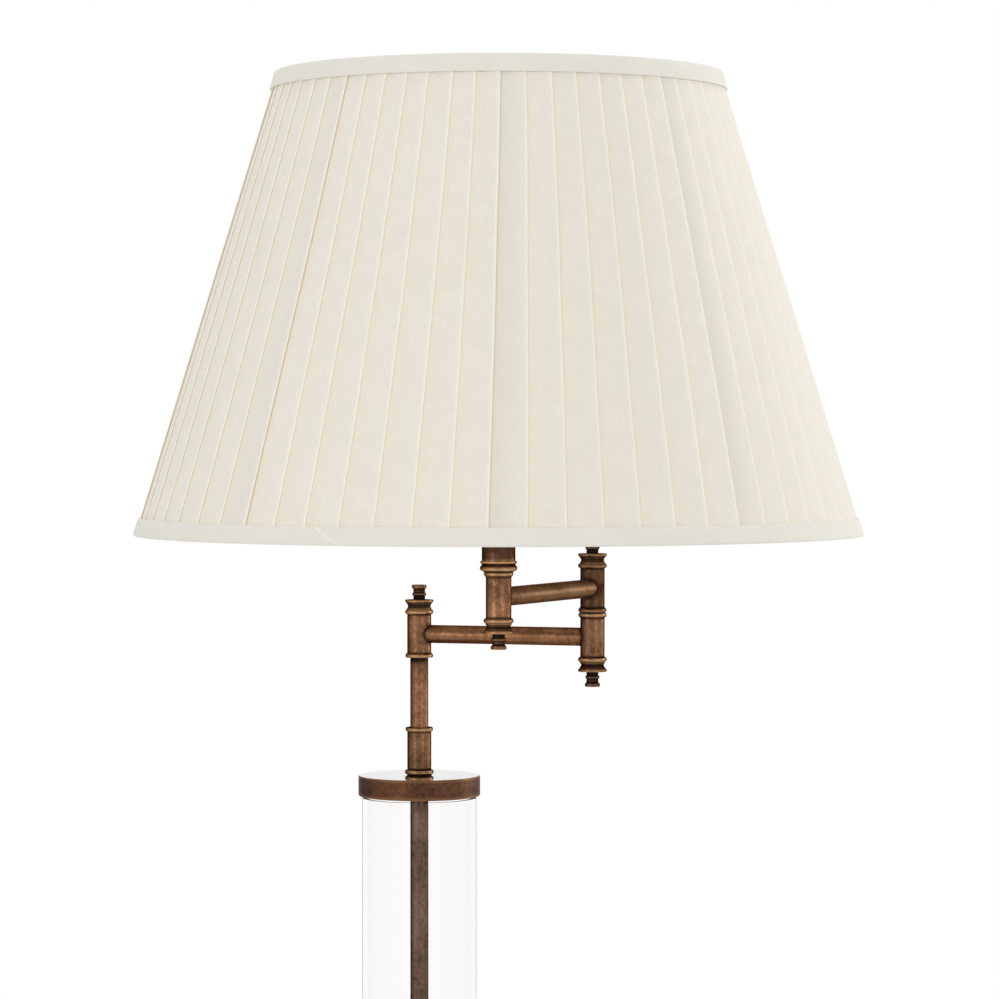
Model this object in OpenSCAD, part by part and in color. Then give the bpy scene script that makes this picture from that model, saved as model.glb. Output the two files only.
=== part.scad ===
// Floor lamp with a glass column, a double swing arm and a knife-pleated shade.
// Millimetres, +Z up. The origin is on the floor under the column's axis.
// The arms are drawn in the pose in which the lamp is usually shown.

/* [Base] */
// Diameter of the base
base_d = 300; // [260:5:340]
// Height of the base above the floor
base_h = 26; // [24:0.5:36]
// Height of the upright band round the base
band_h = 13; // [12.5:0.5:16]
// Width of the step between the band and the shoulder
step_w = 4; // [2:0.5:8]
// Radius of the rounded shoulder
shoulder_r = 8; // [4:0.5:10]
// Wall of the spun base cover
base_wall = 2; // [1.5:0.5:3]
// Thickness of the felt under the base
felt_t = 3; // [2:0.5:4]
// Gap between the cover's rim and the floor
rim_gap = 1; // [0.5:0.5:1.5]
// Diameter of the rod washer in the base
rod_washer_d = 30; // [24:1:40]
// Thickness of the rod washer
rod_washer_t = 2; // [1:0.5:3]
// How much wider the weight's recess is than the washer in it
recess_room = 4; // [1:0.5:8]
// Width of the rod nut across its flats
rod_nut_af = 17; // [14:0.5:19]
// Height of the rod nut
rod_nut_h = 5.5; // [4:0.5:6]
// Diameter of the cable gland's body
gland_d = 7; // [6:0.5:8]
// Diameter of the cable gland's flange
gland_flange_d = 10; // [9:0.5:11]
// Thickness of the cable gland's flange
gland_flange_t = 2; // [1:0.5:4]
// Length by which the gland reaches inside the cover and grips the flex
gland_grip = 4; // [2:0.5:8]

/* [Glass column] */
// Length of the glass tube
glass_len = 1045; // [600:5:1200]
// Outer diameter of the glass tube
glass_d = 76; // [60:1:78]
// Wall of the glass tube
glass_wall = 3.5; // [2.5:0.5:5]
// Diameter of the plates at the ends of the glass
plate_d = 81; // [79:0.5:90]
// Thickness of the plates
plate_h = 13.6; // [10:0.2:18]
// Rounding of the plates' edges
plate_round = 1; // [0.5:0.25:3]
// Thickness of the clear gaskets
gasket_t = 1.4; // [0.8:0.2:3]
// Length of the gasket's lip inside the glass
gasket_lip = 4; // [2:0.5:8]
// Width of the gasket's lip
gasket_lip_w = 1.4; // [1:0.2:2]

/* [Rod and post] */
// Outer diameter of the rod, the neck and both arm tubes
tube_d = 12; // [11:0.25:12.5]
// Bore of the rod, the neck and both arm tubes
tube_bore = 8; // [7.5:0.25:8.5]
// Diameter of the rod's threaded ends and of the arm tubes' spigots
thread_d = 10; // [9.5:0.25:10.5]
// Length of the rod's upper thread above the plate
rod_thread_up = 14; // [8:1:18]
// Outer diameter of the post collar
collar_d = 16; // [15:0.25:18]
// Height of the post collar
collar_h = 31.9; // [28:0.1:45]
// Diameter of the ring at the collar's foot
foot_ring_d = 19; // [18.5:0.25:22]
// Diameter of the ring at the collar's top
collar_ring_d = 18.2; // [18:0.2:22]
// Height of the collar's two rings
collar_ring_h = 2.6; // [1.6:0.1:4]
// Length of the neck tube above the collar
neck_len = 45.8; // [20:0.1:120]
// Length of the neck tube inside the collar
neck_seat = 14; // [8:1:16]

/* [Knuckles] */
// Diameter of a knuckle's barrel
barrel_d = 16; // [15.5:0.25:18]
// Bore of a knuckle's barrel
barrel_bore = 12; // [11.5:0.25:13]
// Length from the arm's axis to a knuckle's pivot face
pivot_reach = 15.7; // [15:0.1:18]
// Length from the arm's axis to a knuckle's open end
open_reach = 16.3; // [15:0.1:20]
// Thickness of the web that the pivot passes through
web_t = 6.7; // [5.5:0.1:7]
// Diameter of the ring at the pivot face
ring_d = 18.4; // [18.25:0.05:21]
// Height of the ring at the pivot face
ring_h = 2.4; // [1.6:0.1:3]
// Diameter of the half-round bead at the open end
bead_d = 18.9; // [18.5:0.1:21]
// Height of the half-round bead
bead_h = 3.2; // [2:0.1:4]
// Diameter of the pivot's shank
pivot_d = 8; // [7:0.1:8.4]
// Bore of the pivot
pivot_bore = 5.4; // [4.8:0.1:5.6]
// Diameter of the pivot's head
pivot_head_d = 11; // [10:0.1:11.2]
// Height of the pivot's head
pivot_head_h = 2.5; // [1.5:0.1:2.9]
// Length of thread by which the column's pivot is screwed in
pivot_screw_in = 12; // [8:1:16]
// Thickness of the friction washers
swivel_washer_t = 0.6; // [0.4:0.1:1.5]
// Diameter of the friction washer under the elbow's upper knuckle
elbow_washer_d = 16.6; // [14:0.2:17.4]

/* [Finial caps] */
// Height of the cove between the bead and the flange
cove_h = 4.1; // [3:0.1:6]
// Diameter at the throat of the cove
cove_d = 15; // [14:0.1:15.4]
// Diameter of the flange
flange_d = 18.9; // [18:0.1:22]
// Height of the flange
flange_h = 2.3; // [1.6:0.1:3.5]
// How much the flange narrows towards the cove
flange_flare = 2; // [0.4:0.1:3]
// Length of the finial above the flange
finial_h = 9.9; // [7:0.1:16]
// Diameter of the finial's neck
finial_neck_d = 7.8; // [6.5:0.1:8.5]
// Diameter of the finial's bead
finial_bead_d = 9.4; // [9:0.1:11]
// Height of the finial's bead
finial_bead_h = 2.2; // [1.2:0.1:2.4]
// Diameter of the finial's cap
finial_cap_d = 9.9; // [9.5:0.1:12]
// Height of the finial's cap
finial_cap_h = 2.4; // [1.4:0.1:3]
// Length of the cap's spigot inside the barrel
cap_spigot = 3; // [2:0.5:5]

/* [Arms] */
// Length of the lower arm, from axis to axis
lower_arm_len = 120; // [90:1:200]
// Length of the upper arm, from axis to axis
upper_arm_len = 140; // [90:1:200]
// Direction of the lower arm, seen from above
lower_arm_angle = -17.6; // [-180:0.1:180]
// Direction of the upper arm, seen from above
upper_arm_angle = -115.8; // [-180:0.1:180]
// Diameter of the internal flex
flex_d = 4; // [3:0.5:4.5]
// Bending radius of the internal flex
flex_bend = 6; // [5:0.25:6]

/* [Riser and lampholder] */
// Diameter of the riser's large bead
riser_bead_d = 23.3; // [22:0.1:26]
// Height of the riser collar above the knuckle
riser_collar_h = 6.9; // [6:0.1:12]
// Height of the riser's large bead
riser_bead_h = 3.2; // [2:0.1:4]
// Height of the thin bead under the sleeve
thin_bead_h = 1.6; // [1:0.1:2]
// Length of the riser collar's spigot inside the sleeve
riser_spigot = 4; // [2:0.5:8]
// Diameter of the riser sleeve
sleeve_d = 21; // [18:0.25:21.5]
// Wall of the riser sleeve
sleeve_wall = 1.25; // [1:0.25:2]
// Length of the riser sleeve
sleeve_len = 60; // [30:1:90]
// Outer diameter of the lampholder cap
holder_cap_d = 37; // [36:0.5:40]
// Height of the lampholder cap
holder_cap_h = 20; // [18:0.5:26]
// Height of the flared part of the lampholder cap
holder_flare_h = 13; // [10:0.5:14]
// Wall of the lampholder cap
holder_wall = 1.2; // [1:0.1:2]
// Thickness of the lampholder cap's floor
holder_floor = 3; // [2:0.5:4]
// Width of the lampholder's nut across its flats
holder_nut_af = 13; // [11:0.5:15]
// Height of the lampholder's nut
holder_nut_h = 3; // [2:0.5:4]
// Length of the nipple above the lampholder's nut
nipple_out = 2; // [1:0.5:5]
// Diameter of the lampholder's threaded skirt
skirt_d = 39.6; // [38:0.2:42]
// Bore of the lampholder's threaded skirt
skirt_bore = 35; // [34.5:0.5:36]
// Height of the lampholder's skirt
skirt_h = 32; // [26:1:40]
// Height of the bands at the skirt's foot and rim
skirt_band_h = 3; // [1.5:0.5:5]
// How far the skirt's foot stands out
skirt_foot_out = 1.2; // [0.5:0.1:2]
// Outer diameter of the two shade rings
shade_ring_d = 52; // [48:1:60]
// Height of each shade ring
shade_ring_h = 4; // [3:0.5:6]
// Height of the lower shade ring above the skirt's foot
shade_ring_lift = 7.2; // [4:0.2:10]
// Diameter of the ceramic insert
insert_d = 33; // [31:0.5:34]
// Height of the ceramic insert
insert_h = 12; // [8:0.5:16]
// Diameter of the insert's two wire holes
wire_hole_d = 3.6; // [2:0.2:5]
// Depth of the insert's two wire holes
wire_hole_h = 5; // [3:0.5:7]
// Inner diameter of the brass screw shell
shell_bore = 27.2; // [26.8:0.1:28]
// Length of the brass screw shell
shell_len = 18; // [12:1:22]
// Wall of the brass screw shell
shell_wall = 0.8; // [0.5:0.1:1]
// Diameter of the hole in the screw shell's floor
shell_hole_d = 14; // [10:1:18]
// Diameter of the centre contact
contact_d = 8; // [6:0.5:9]
// Height of the centre contact
contact_h = 1.8; // [1:0.1:3]

/* [Bulb] */
// Diameter of the bulb's screw cap
bulb_cap_d = 26.2; // [25.8:0.1:26.4]
// Length of the bulb's screw cap
bulb_cap_len = 22; // [18:0.5:26]
// Diameter of the contact at the bulb's foot
bulb_tip_d = 9; // [8:0.5:12]
// Height of the contact at the bulb's foot
bulb_tip_h = 2.5; // [1.5:0.5:4]
// Height of each turn of the bulb's thread
bulb_turn_h = 3.6; // [3:0.1:4]
// Diameter of the bulb's globe
bulb_d = 60; // [45:1:70]
// Height of the globe's centre above the screw cap
bulb_rise = 48; // [44:1:70]
// Wall of the bulb's glass
bulb_wall = 1; // [0.8:0.1:1.5]
// Step between the bulb's screw cap and its glass
bulb_step = 0.6; // [0.2:0.1:1]
// How much the bulb's neck widens above the screw cap
bulb_flare = 1.8; // [0.5:0.1:4]
// Height in which the bulb's neck widens
bulb_flare_h = 4; // [2:0.5:8]

/* [Shade] */
// Diameter of the shade at its lower edge
shade_bottom_d = 451.5; // [360:0.5:500]
// Diameter of the shade at its upper edge
shade_top_d = 275.5; // [240:0.5:360]
// Height of the shade
shade_h = 286.4; // [240:0.2:360]
// Height of the shade's lower edge above the lower arm's axis
shade_lift = 71; // [68:0.2:90]
// Number of pleats in each cloth panel
panel_pleats = 7; // [4:1:9]
// Number of cloth panels between two spokes of the wire frame
spoke_panels = 3; // [1:1:4]
// Direction of the first join between two panels, seen from above
join_angle = -90.5; // [-180:0.1:180]
// Depth of the step at each pleat's fold
pleat_step = 1.8; // [1:0.1:3]
// Extra height of a doubled pleat
double_lift = 0.35; // [0:0.05:0.8]
// Thickness of the pleated cloth
cloth_t = 0.7; // [0.5:0.1:1.2]
// Thickness of the lining
lining_t = 0.6; // [0.4:0.1:1]
// Diameter of the two ring wires
ring_wire_d = 4; // [3:0.25:5]
// Diameter of the upright wires
strut_d = 3; // [2:0.25:4]
// Diameter of the spider's spokes
spoke_d = 3.6; // [3:0.2:5]
// Number of the spider's spokes
spoke_n = 3; // [2:1:4]
// Thickness of the spider's centre ring
spider_ring_t = 2; // [1.2:0.2:3]
// Height of the edge tape
tape_h = 11; // [8:0.5:18]
// Thickness of the edge tape outside
tape_t = 1.3; // [0.8:0.1:2]
// Thickness of the edge tape inside
tape_in_t = 1; // [0.6:0.1:1.5]

/* [Fits] */
// Gap between pieces that are laid or slipped into each other
fit = 0.15; // [0.1:0.05:0.3]
// Radial gap in a threaded or soldered seat
seat_gap = 0.03; // [0.02:0.01:0.05]
// Radial running gap of the pivots
run_gap = 0.06; // [0.03:0.01:0.09]
// Axial gap at the swivel faces
turn_gap = 0.05; // [0.03:0.01:0.1]

/* [Hidden] */
$fn = 72;

// Heights along the column, from the floor up
cover_in_r = base_d / 2 - step_w - base_wall;
weight_top = base_h - base_wall - fit;
flex_z = felt_t + flex_d;
rod_end_z = flex_z + flex_d * 0.75;
rod_nut_top = rod_end_z + rod_nut_h;
recess_top = rod_nut_top + rod_washer_t;
recess_d = rod_washer_d + recess_room;
gland_in = cover_in_r - gland_grip;
lower_plate_top = base_h + plate_h;
glass_z = lower_plate_top + gasket_t;
upper_plate_z = glass_z + glass_len + gasket_t;
upper_plate_top = upper_plate_z + plate_h;
collar_top = upper_plate_top + collar_h;
neck_top = collar_top + neck_len;
lower_arm_z = neck_top + swivel_washer_t + turn_gap + pivot_reach;
upper_arm_z = lower_arm_z + 2 * pivot_reach + swivel_washer_t + turn_gap;

// Places of the elbow and the shade's axis
elbow = lower_arm_len * [cos(lower_arm_angle), sin(lower_arm_angle)];
riser = elbow + upper_arm_len * [cos(upper_arm_angle), sin(upper_arm_angle)];

// Heights inside the shade
collar_z = upper_arm_z + pivot_reach;
sleeve_z = collar_z + riser_collar_h;
holder_z = sleeve_z + sleeve_len;
nipple_top = holder_z + holder_floor + holder_nut_h + nipple_out;
insert_z = holder_z + holder_flare_h;
skirt_z = holder_z + holder_cap_h;
lower_ring_z = skirt_z + shade_ring_lift;
spider_z = lower_ring_z + shade_ring_h;
shell_z = insert_z + insert_h;
bulb_z = shell_z + contact_h;
globe_z = bulb_z + bulb_cap_len + bulb_rise;
shade_z = lower_arm_z + shade_lift;

// Section through the shade's wall: each layer's horizontal depth behind the pleats
shade_lean = atan((shade_bottom_d - shade_top_d) / 2 / shade_h);
cloth_depth = pleat_step + cloth_t;
wire_depth = cloth_depth + 2 * fit + ring_wire_d / 2 / cos(shade_lean);
lining_depth = wire_depth + ring_wire_d / 2 / cos(shade_lean) + fit;
tape_depth = lining_depth + lining_t + fit;
cloth_low = tape_t + fit;
cloth_high = shade_h - tape_t - fit;
wire_low = cloth_low + ring_wire_d / 2;
wire_high = cloth_high - ring_wire_d / 2;
panel_n = spoke_n * spoke_panels;
panel_angle = 360 / panel_n;
pleat_n = panel_n * panel_pleats;
pleat_angle = 360 / pleat_n;

// Radius of the shade's outside at a height above its lower edge
function shade_r(v) = (shade_bottom_d - (shade_bottom_d - shade_top_d) * v / shade_h) / 2;

// Points of an arc, for the round corners of a revolved outline
function arc(c, r, from, to, n = 5) =
    [for (i = [0:n]) c + r * [cos(from + (to - from) * i / n), sin(from + (to - from) * i / n)]];

// A collar or bead of a turned outline, with its two outer edges rounded
module band(d, z, h, r) {
    translate([0, z])
        square([d / 2 - r, h]);
    translate([0, z + r])
        square([d / 2, max(h - 2 * r, 0.001)]);
    for (edge = [z + r, z + h - r])
        translate([d / 2 - r, edge])
            circle(r);
}

// A plain length of a turned outline
module rod_part(d, z, h) {
    translate([0, z])
        square([d / 2, h]);
}

// A cone of a turned outline
module taper(d0, d1, z, h) {
    polygon([[0, z], [d0 / 2, z], [d1 / 2, z + h], [0, z + h]]);
}

// A disc of a turned outline whose upper edge is rounded
module domed(r, z, h, c) {
    translate([0, z])
        square([r - c, h]);
    translate([0, z])
        square([r, h - c]);
    translate([r - c, z + h - c])
        circle(c);
}

module tube(d, bore, h) {
    difference() {
        cylinder(d = d, h = h);
        translate([0, 0, -1])
            cylinder(d = bore, h = h + 2);
    }
}

module hexagon(af, bore, h) {
    difference() {
        cylinder(d = af / cos(30), h = h, $fn = 6);
        translate([0, 0, -1])
            cylinder(d = bore, h = h + 2);
    }
}

module at_elbow(z) {
    translate([elbow.x, elbow.y, z])
        children();
}

module at_riser(z) {
    translate([riser.x, riser.y, z])
        children();
}

module along_lower_arm() {
    translate([0, 0, lower_arm_z])
        rotate(lower_arm_angle)
            children();
}

module along_upper_arm() {
    at_elbow(upper_arm_z)
        rotate(upper_arm_angle)
            children();
}

// Turns a knuckle, a cap or its cavity end for end
module upside_down() {
    rotate([180, 0, 0])
        children();
}

// One knuckle of the swing arm, with its pivot face down and its open end up.
// The port for the arm's spigot points along +X.
module knuckle(web_bore) {
    edge_r = ring_h / 3;
    difference() {
        rotate_extrude() {
            band(ring_d, -pivot_reach, ring_h, edge_r);
            taper(ring_d - edge_r, barrel_d, ring_h - pivot_reach, edge_r);
            rod_part(barrel_d, -pivot_reach, pivot_reach + open_reach - bead_h / 2);
            band(bead_d, open_reach - bead_h, bead_h, bead_h / 2);
        }
        translate([0, 0, web_t - pivot_reach])
            cylinder(d = barrel_bore, h = pivot_reach + open_reach);
        translate([0, 0, -pivot_reach - 1])
            cylinder(d = web_bore, h = web_t + 2);
        rotate([0, 90, 0])
            cylinder(d = thread_d + 2 * seat_gap, h = barrel_d);
    }
}

// Cap with a cove, a flange and a finial, turned in one piece and screwed into a knuckle
module finial_cap() {
    finial_z = cove_h + flange_h;
    cap_z = finial_z + finial_h - finial_cap_h;
    bead_z = finial_z + (cap_z - finial_z - finial_bead_h) * 0.48;
    land_d = barrel_d + 0.4;
    hollow_r = 1.7;
    edge_r = 0.6;
    rotate_extrude() {
        rod_part(barrel_bore - 2 * seat_gap, -cap_spigot, cap_spigot + 1);
        difference() {
            rod_part(land_d, 0, cove_h);
            translate([cove_d / 2 + hollow_r, cove_h / 2])
                circle(hollow_r);
            translate([cove_d / 2 + hollow_r, cove_h / 2 - hollow_r])
                square([hollow_r, 2 * hollow_r]);
        }
        taper(flange_d - flange_flare, flange_d, cove_h, flange_h - 2 * edge_r);
        domed(flange_d / 2, finial_z - 2 * edge_r, 2 * edge_r, edge_r);
        rod_part(finial_neck_d, cove_h, cap_z - cove_h + 1);
        band(finial_bead_d, bead_z, finial_bead_h, finial_bead_h / 2);
        taper(finial_neck_d, finial_cap_d - edge_r, cap_z - edge_r, 1.5 * edge_r);
        band(finial_cap_d, cap_z, finial_cap_h, edge_r);
    }
}

// Hollow pivot with a slotted head. Its shank runs down from the head's underside.
module hollow_pivot(shank) {
    slot_w = pivot_head_d / 7;
    slot_h = pivot_head_h * 0.4;
    difference() {
        union() {
            cylinder(d = pivot_head_d, h = pivot_head_h);
            translate([0, 0, -shank])
                cylinder(d = pivot_d, h = shank + 1);
        }
        translate([0, 0, -shank - 1])
            cylinder(d = pivot_bore, h = shank + pivot_head_h + 2);
        translate([-pivot_head_d, -slot_w / 2, pivot_head_h - slot_h])
            cube([2 * pivot_head_d, slot_w, 2 * slot_h]);
    }
}

// Arm tube between two barrels, with a saddle cut and a spigot at each end
module arm_tube(len) {
    spigot_in = barrel_bore / 2 + 0.3;
    difference() {
        union() {
            difference() {
                rotate([0, 90, 0])
                    cylinder(d = tube_d, h = len);
                for (x = [0, len])
                    translate([x, 0, -tube_d])
                        cylinder(d = barrel_d + 2 * seat_gap, h = 2 * tube_d);
            }
            translate([spigot_in, 0, 0])
                rotate([0, 90, 0])
                    cylinder(d = thread_d, h = len - 2 * spigot_in);
        }
        translate([-1, 0, 0])
            rotate([0, 90, 0])
                cylinder(d = tube_bore, h = len + 2);
    }
}

// Quarter bend of flex in the XZ plane, from straight up at the axis to level along +X
module flex_turn() {
    translate([flex_bend, 0, -flex_bend])
        rotate([90, 0, 0])
            rotate(90)
                rotate_extrude(angle = 90)
                    translate([flex_bend, 0])
                        circle(d = flex_d);
}

// Flex through one arm: in at one axis, along the tube and up at the other axis
module arm_flex(len, rise) {
    flex_turn();
    translate([flex_bend, 0, 0])
        rotate([0, 90, 0])
            cylinder(d = flex_d, h = len - 2 * flex_bend);
    translate([len, 0, 0])
        upside_down()
            mirror([1, 0, 0])
                flex_turn();
    translate([len, 0, flex_bend])
        cylinder(d = flex_d, h = rise - flex_bend);
}

module base_cover() {
    color([0.43, 0.29, 0.2])
        difference() {
            rotate_extrude($fn = 180) {
                domed(base_d / 2, rim_gap, band_h - rim_gap, 1.5);
                domed(base_d / 2 - step_w, rim_gap, base_h - rim_gap, shoulder_r);
            }
            rotate_extrude($fn = 180) {
                rod_part(base_d - 2 * base_wall, rim_gap - 1, band_h - base_wall - rim_gap + 1);
                domed(cover_in_r, rim_gap - 1, base_h - base_wall - rim_gap + 1,
                    shoulder_r - base_wall);
            }
            translate([0, 0, base_h - base_wall - 1])
                cylinder(d = thread_d + 2 * fit, h = base_wall + 2);
            translate([0, cover_in_r, flex_z])
                rotate([-90, 0, 0])
                    cylinder(d = gland_d + 2 * seat_gap, h = base_d);
        }
}

module base_weight() {
    slot_w = gland_d + 1;
    color([0.2, 0.2, 0.21])
        difference() {
            rotate_extrude($fn = 180)
                domed(cover_in_r - fit, felt_t, weight_top - felt_t, shoulder_r - base_wall);
            cylinder(d = thread_d + 2 * fit, h = base_h);
            cylinder(d = recess_d, h = recess_top);
            translate([-slot_w / 2, 0, 0])
                cube([slot_w, base_d, flex_z + slot_w / 2]);
        }
}

module base_felt() {
    color([0.16, 0.3, 0.2])
        cylinder(r = base_d / 2 - base_wall - fit, h = felt_t, $fn = 180);
}

module cable_gland() {
    color([0.12, 0.1, 0.09])
        translate([0, 0, flex_z])
            rotate([-90, 0, 0])
                difference() {
                    union() {
                        translate([0, 0, gland_in])
                            cylinder(d = gland_d, h = base_d / 2 - gland_in + gland_flange_t);
                        translate([0, 0, base_d / 2 + seat_gap])
                            cylinder(d = gland_flange_d, h = gland_flange_t);
                    }
                    translate([0, 0, gland_in - 1])
                        cylinder(d = flex_d + 2 * fit, h = base_d);
                }
}

module rod_washer() {
    color([0.62, 0.62, 0.6])
        translate([0, 0, rod_nut_top])
            tube(rod_washer_d, thread_d + 2 * fit, rod_washer_t);
}

module rod_nut() {
    color([0.7, 0.62, 0.4])
        translate([0, 0, rod_end_z])
            hexagon(rod_nut_af, thread_d + 2 * seat_gap, rod_nut_h);
}

// Plate at one end of the glass tube
module end_plate(z) {
    translate([0, 0, z])
        difference() {
            rotate_extrude($fn = 120)
                band(plate_d, 0, plate_h, plate_round);
            translate([0, 0, -1])
                cylinder(d = thread_d + 2 * fit, h = plate_h + 2);
        }
}

module lower_plate() {
    color([0.41, 0.27, 0.18])
        end_plate(base_h);
}

module upper_plate() {
    color([0.41, 0.27, 0.18])
        end_plate(upper_plate_z);
}

// Clear ring between the glass and a plate, with a lip that centres the glass
module gasket() {
    lip_d = glass_d - 2 * glass_wall - 2 * fit;
    rotate_extrude($fn = 120)
        difference() {
            union() {
                rod_part(glass_d, 0, gasket_t);
                rod_part(lip_d, 0, gasket_t + gasket_lip);
            }
            rod_part(lip_d - 2 * gasket_lip_w, -1, gasket_t + gasket_lip + 2);
        }
}

module lower_gasket() {
    color([0.9, 0.92, 0.92, 0.5])
        translate([0, 0, lower_plate_top])
            gasket();
}

module upper_gasket() {
    color([0.9, 0.92, 0.92, 0.5])
        translate([0, 0, upper_plate_z])
            upside_down()
                gasket();
}

module glass_tube() {
    color([0.92, 0.95, 0.95, 0.35])
        translate([0, 0, glass_z])
            difference() {
                cylinder(d = glass_d, h = glass_len, $fn = 120);
                translate([0, 0, -1])
                    cylinder(d = glass_d - 2 * glass_wall, h = glass_len + 2, $fn = 120);
            }
}

module tie_rod() {
    color([0.36, 0.28, 0.24])
        difference() {
            union() {
                translate([0, 0, lower_plate_top])
                    cylinder(d = tube_d, h = upper_plate_z - lower_plate_top);
                translate([0, 0, rod_end_z])
                    cylinder(d = thread_d, h = upper_plate_top + rod_thread_up - rod_end_z);
            }
            translate([0, 0, rod_end_z - 1])
                cylinder(d = tube_bore, h = upper_plate_top + rod_thread_up);
        }
}

module post_collar() {
    edge_r = collar_ring_h * 0.28;
    foot_z = collar_ring_h / 3;
    color([0.49, 0.35, 0.24])
        translate([0, 0, upper_plate_top])
            difference() {
                rotate_extrude() {
                    taper(collar_d, foot_ring_d - edge_r, 0, foot_z + edge_r / 2);
                    band(foot_ring_d, foot_z, collar_ring_h, edge_r);
                    rod_part(collar_d, 0, collar_h - collar_ring_h / 2);
                    band(collar_ring_d, collar_h - collar_ring_h, collar_ring_h, edge_r);
                }
                translate([0, 0, -1])
                    cylinder(d = thread_d + 2 * seat_gap, h = collar_h);
                translate([0, 0, collar_h - neck_seat])
                    cylinder(d = tube_d + 2 * seat_gap, h = neck_seat + 1);
            }
}

module neck_tube() {
    color([0.48, 0.34, 0.24])
        translate([0, 0, collar_top - neck_seat])
            tube(tube_d, pivot_d + 2 * seat_gap, neck_seat + neck_len);
}

module column_washer() {
    color([0.1, 0.09, 0.08])
        translate([0, 0, neck_top])
            tube(tube_d, pivot_d + 2 * fit, swivel_washer_t);
}

module column_pivot() {
    color([0.75, 0.65, 0.4])
        translate([0, 0, lower_arm_z + web_t - pivot_reach + turn_gap])
            hollow_pivot(web_t + 2 * turn_gap + swivel_washer_t + pivot_screw_in);
}

module column_flex() {
    color([0.85, 0.83, 0.78]) {
        translate([0, flex_bend, flex_z])
            rotate([-90, 0, 0])
                cylinder(d = flex_d, h = gland_in + gland_grip - flex_bend);
        translate([0, 0, flex_z])
            rotate(90)
                upside_down()
                    flex_turn();
        translate([0, 0, flex_z + flex_bend])
            cylinder(d = flex_d, h = lower_arm_z - flex_z - 2 * flex_bend);
    }
}

module column_knuckle() {
    color([0.51, 0.37, 0.26])
        along_lower_arm()
            knuckle(pivot_d + 2 * run_gap);
}

module column_finial() {
    color([0.55, 0.4, 0.27])
        translate([0, 0, lower_arm_z + open_reach])
            finial_cap();
}

module lower_arm_tube() {
    color([0.48, 0.34, 0.23])
        along_lower_arm()
            arm_tube(lower_arm_len);
}

module elbow_lower_knuckle() {
    color([0.5, 0.36, 0.25])
        at_elbow(lower_arm_z)
            rotate(lower_arm_angle)
                rotate([0, 180, 0])
                    knuckle(pivot_d + 2 * seat_gap);
}

module elbow_lower_finial() {
    color([0.55, 0.4, 0.27])
        at_elbow(lower_arm_z - open_reach)
            upside_down()
                finial_cap();
}

module elbow_washer() {
    color([0.1, 0.09, 0.08])
        at_elbow(lower_arm_z + pivot_reach)
            tube(elbow_washer_d, pivot_d + 2 * fit, swivel_washer_t);
}

module elbow_pivot() {
    color([0.75, 0.65, 0.4])
        at_elbow(upper_arm_z + web_t - pivot_reach + turn_gap)
            hollow_pivot(2 * web_t + 2 * turn_gap + swivel_washer_t - 0.5);
}

module lower_arm_flex() {
    color([0.85, 0.83, 0.78])
        along_lower_arm()
            arm_flex(lower_arm_len, upper_arm_z - lower_arm_z - flex_bend);
}

module elbow_upper_knuckle() {
    color([0.5, 0.36, 0.25])
        along_upper_arm()
            knuckle(pivot_d + 2 * run_gap);
}

module elbow_upper_finial() {
    color([0.55, 0.4, 0.27])
        at_elbow(upper_arm_z + open_reach)
            finial_cap();
}

module upper_arm_tube() {
    color([0.5, 0.38, 0.28])
        along_upper_arm()
            arm_tube(upper_arm_len);
}

module socket_knuckle() {
    color([0.49, 0.35, 0.25])
        at_riser(upper_arm_z)
            rotate(upper_arm_angle)
                rotate([0, 180, 0])
                    knuckle(pivot_d + 2 * seat_gap);
}

module socket_finial() {
    color([0.55, 0.4, 0.27])
        at_riser(upper_arm_z - open_reach)
            upside_down()
                finial_cap();
}

module upper_arm_flex() {
    color([0.85, 0.83, 0.78])
        along_upper_arm()
            arm_flex(upper_arm_len, insert_z - upper_arm_z);
}

module riser_nipple() {
    foot = upper_arm_z + pivot_reach - web_t + 0.5;
    color([0.75, 0.65, 0.4])
        at_riser(foot)
            tube(pivot_d, pivot_bore, nipple_top - foot);
}

// Turned collar with a large and a small bead, which seats the sleeve
module riser_collar() {
    under_h = riser_bead_h / 4;
    bead_r = riser_bead_h * 0.4;
    thin_r = thin_bead_h * 0.47;
    throat_d = sleeve_d + 2 * fit;
    color([0.52, 0.38, 0.26])
        at_riser(collar_z)
            difference() {
                rotate_extrude() {
                    rod_part(barrel_d + 2 * under_h, 0, riser_collar_h);
                    taper(sleeve_d - bead_r, riser_bead_d - bead_r, under_h / 2, under_h);
                    band(riser_bead_d, under_h, riser_bead_h, bead_r);
                    rod_part(throat_d, riser_bead_h / 2, riser_collar_h - riser_bead_h / 2);
                    band(riser_bead_d - 2 * fit, riser_collar_h - thin_bead_h, thin_bead_h, thin_r);
                    rod_part(sleeve_d - 2 * sleeve_wall - 2 * seat_gap, 0,
                        riser_collar_h + riser_spigot);
                }
                translate([0, 0, -1])
                    cylinder(d = pivot_d + 2 * seat_gap, h = riser_collar_h + riser_spigot + 2);
            }
}

module riser_sleeve() {
    color([0.31, 0.21, 0.15])
        at_riser(sleeve_z)
            tube(sleeve_d, sleeve_d - 2 * sleeve_wall, sleeve_len);
}

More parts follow.
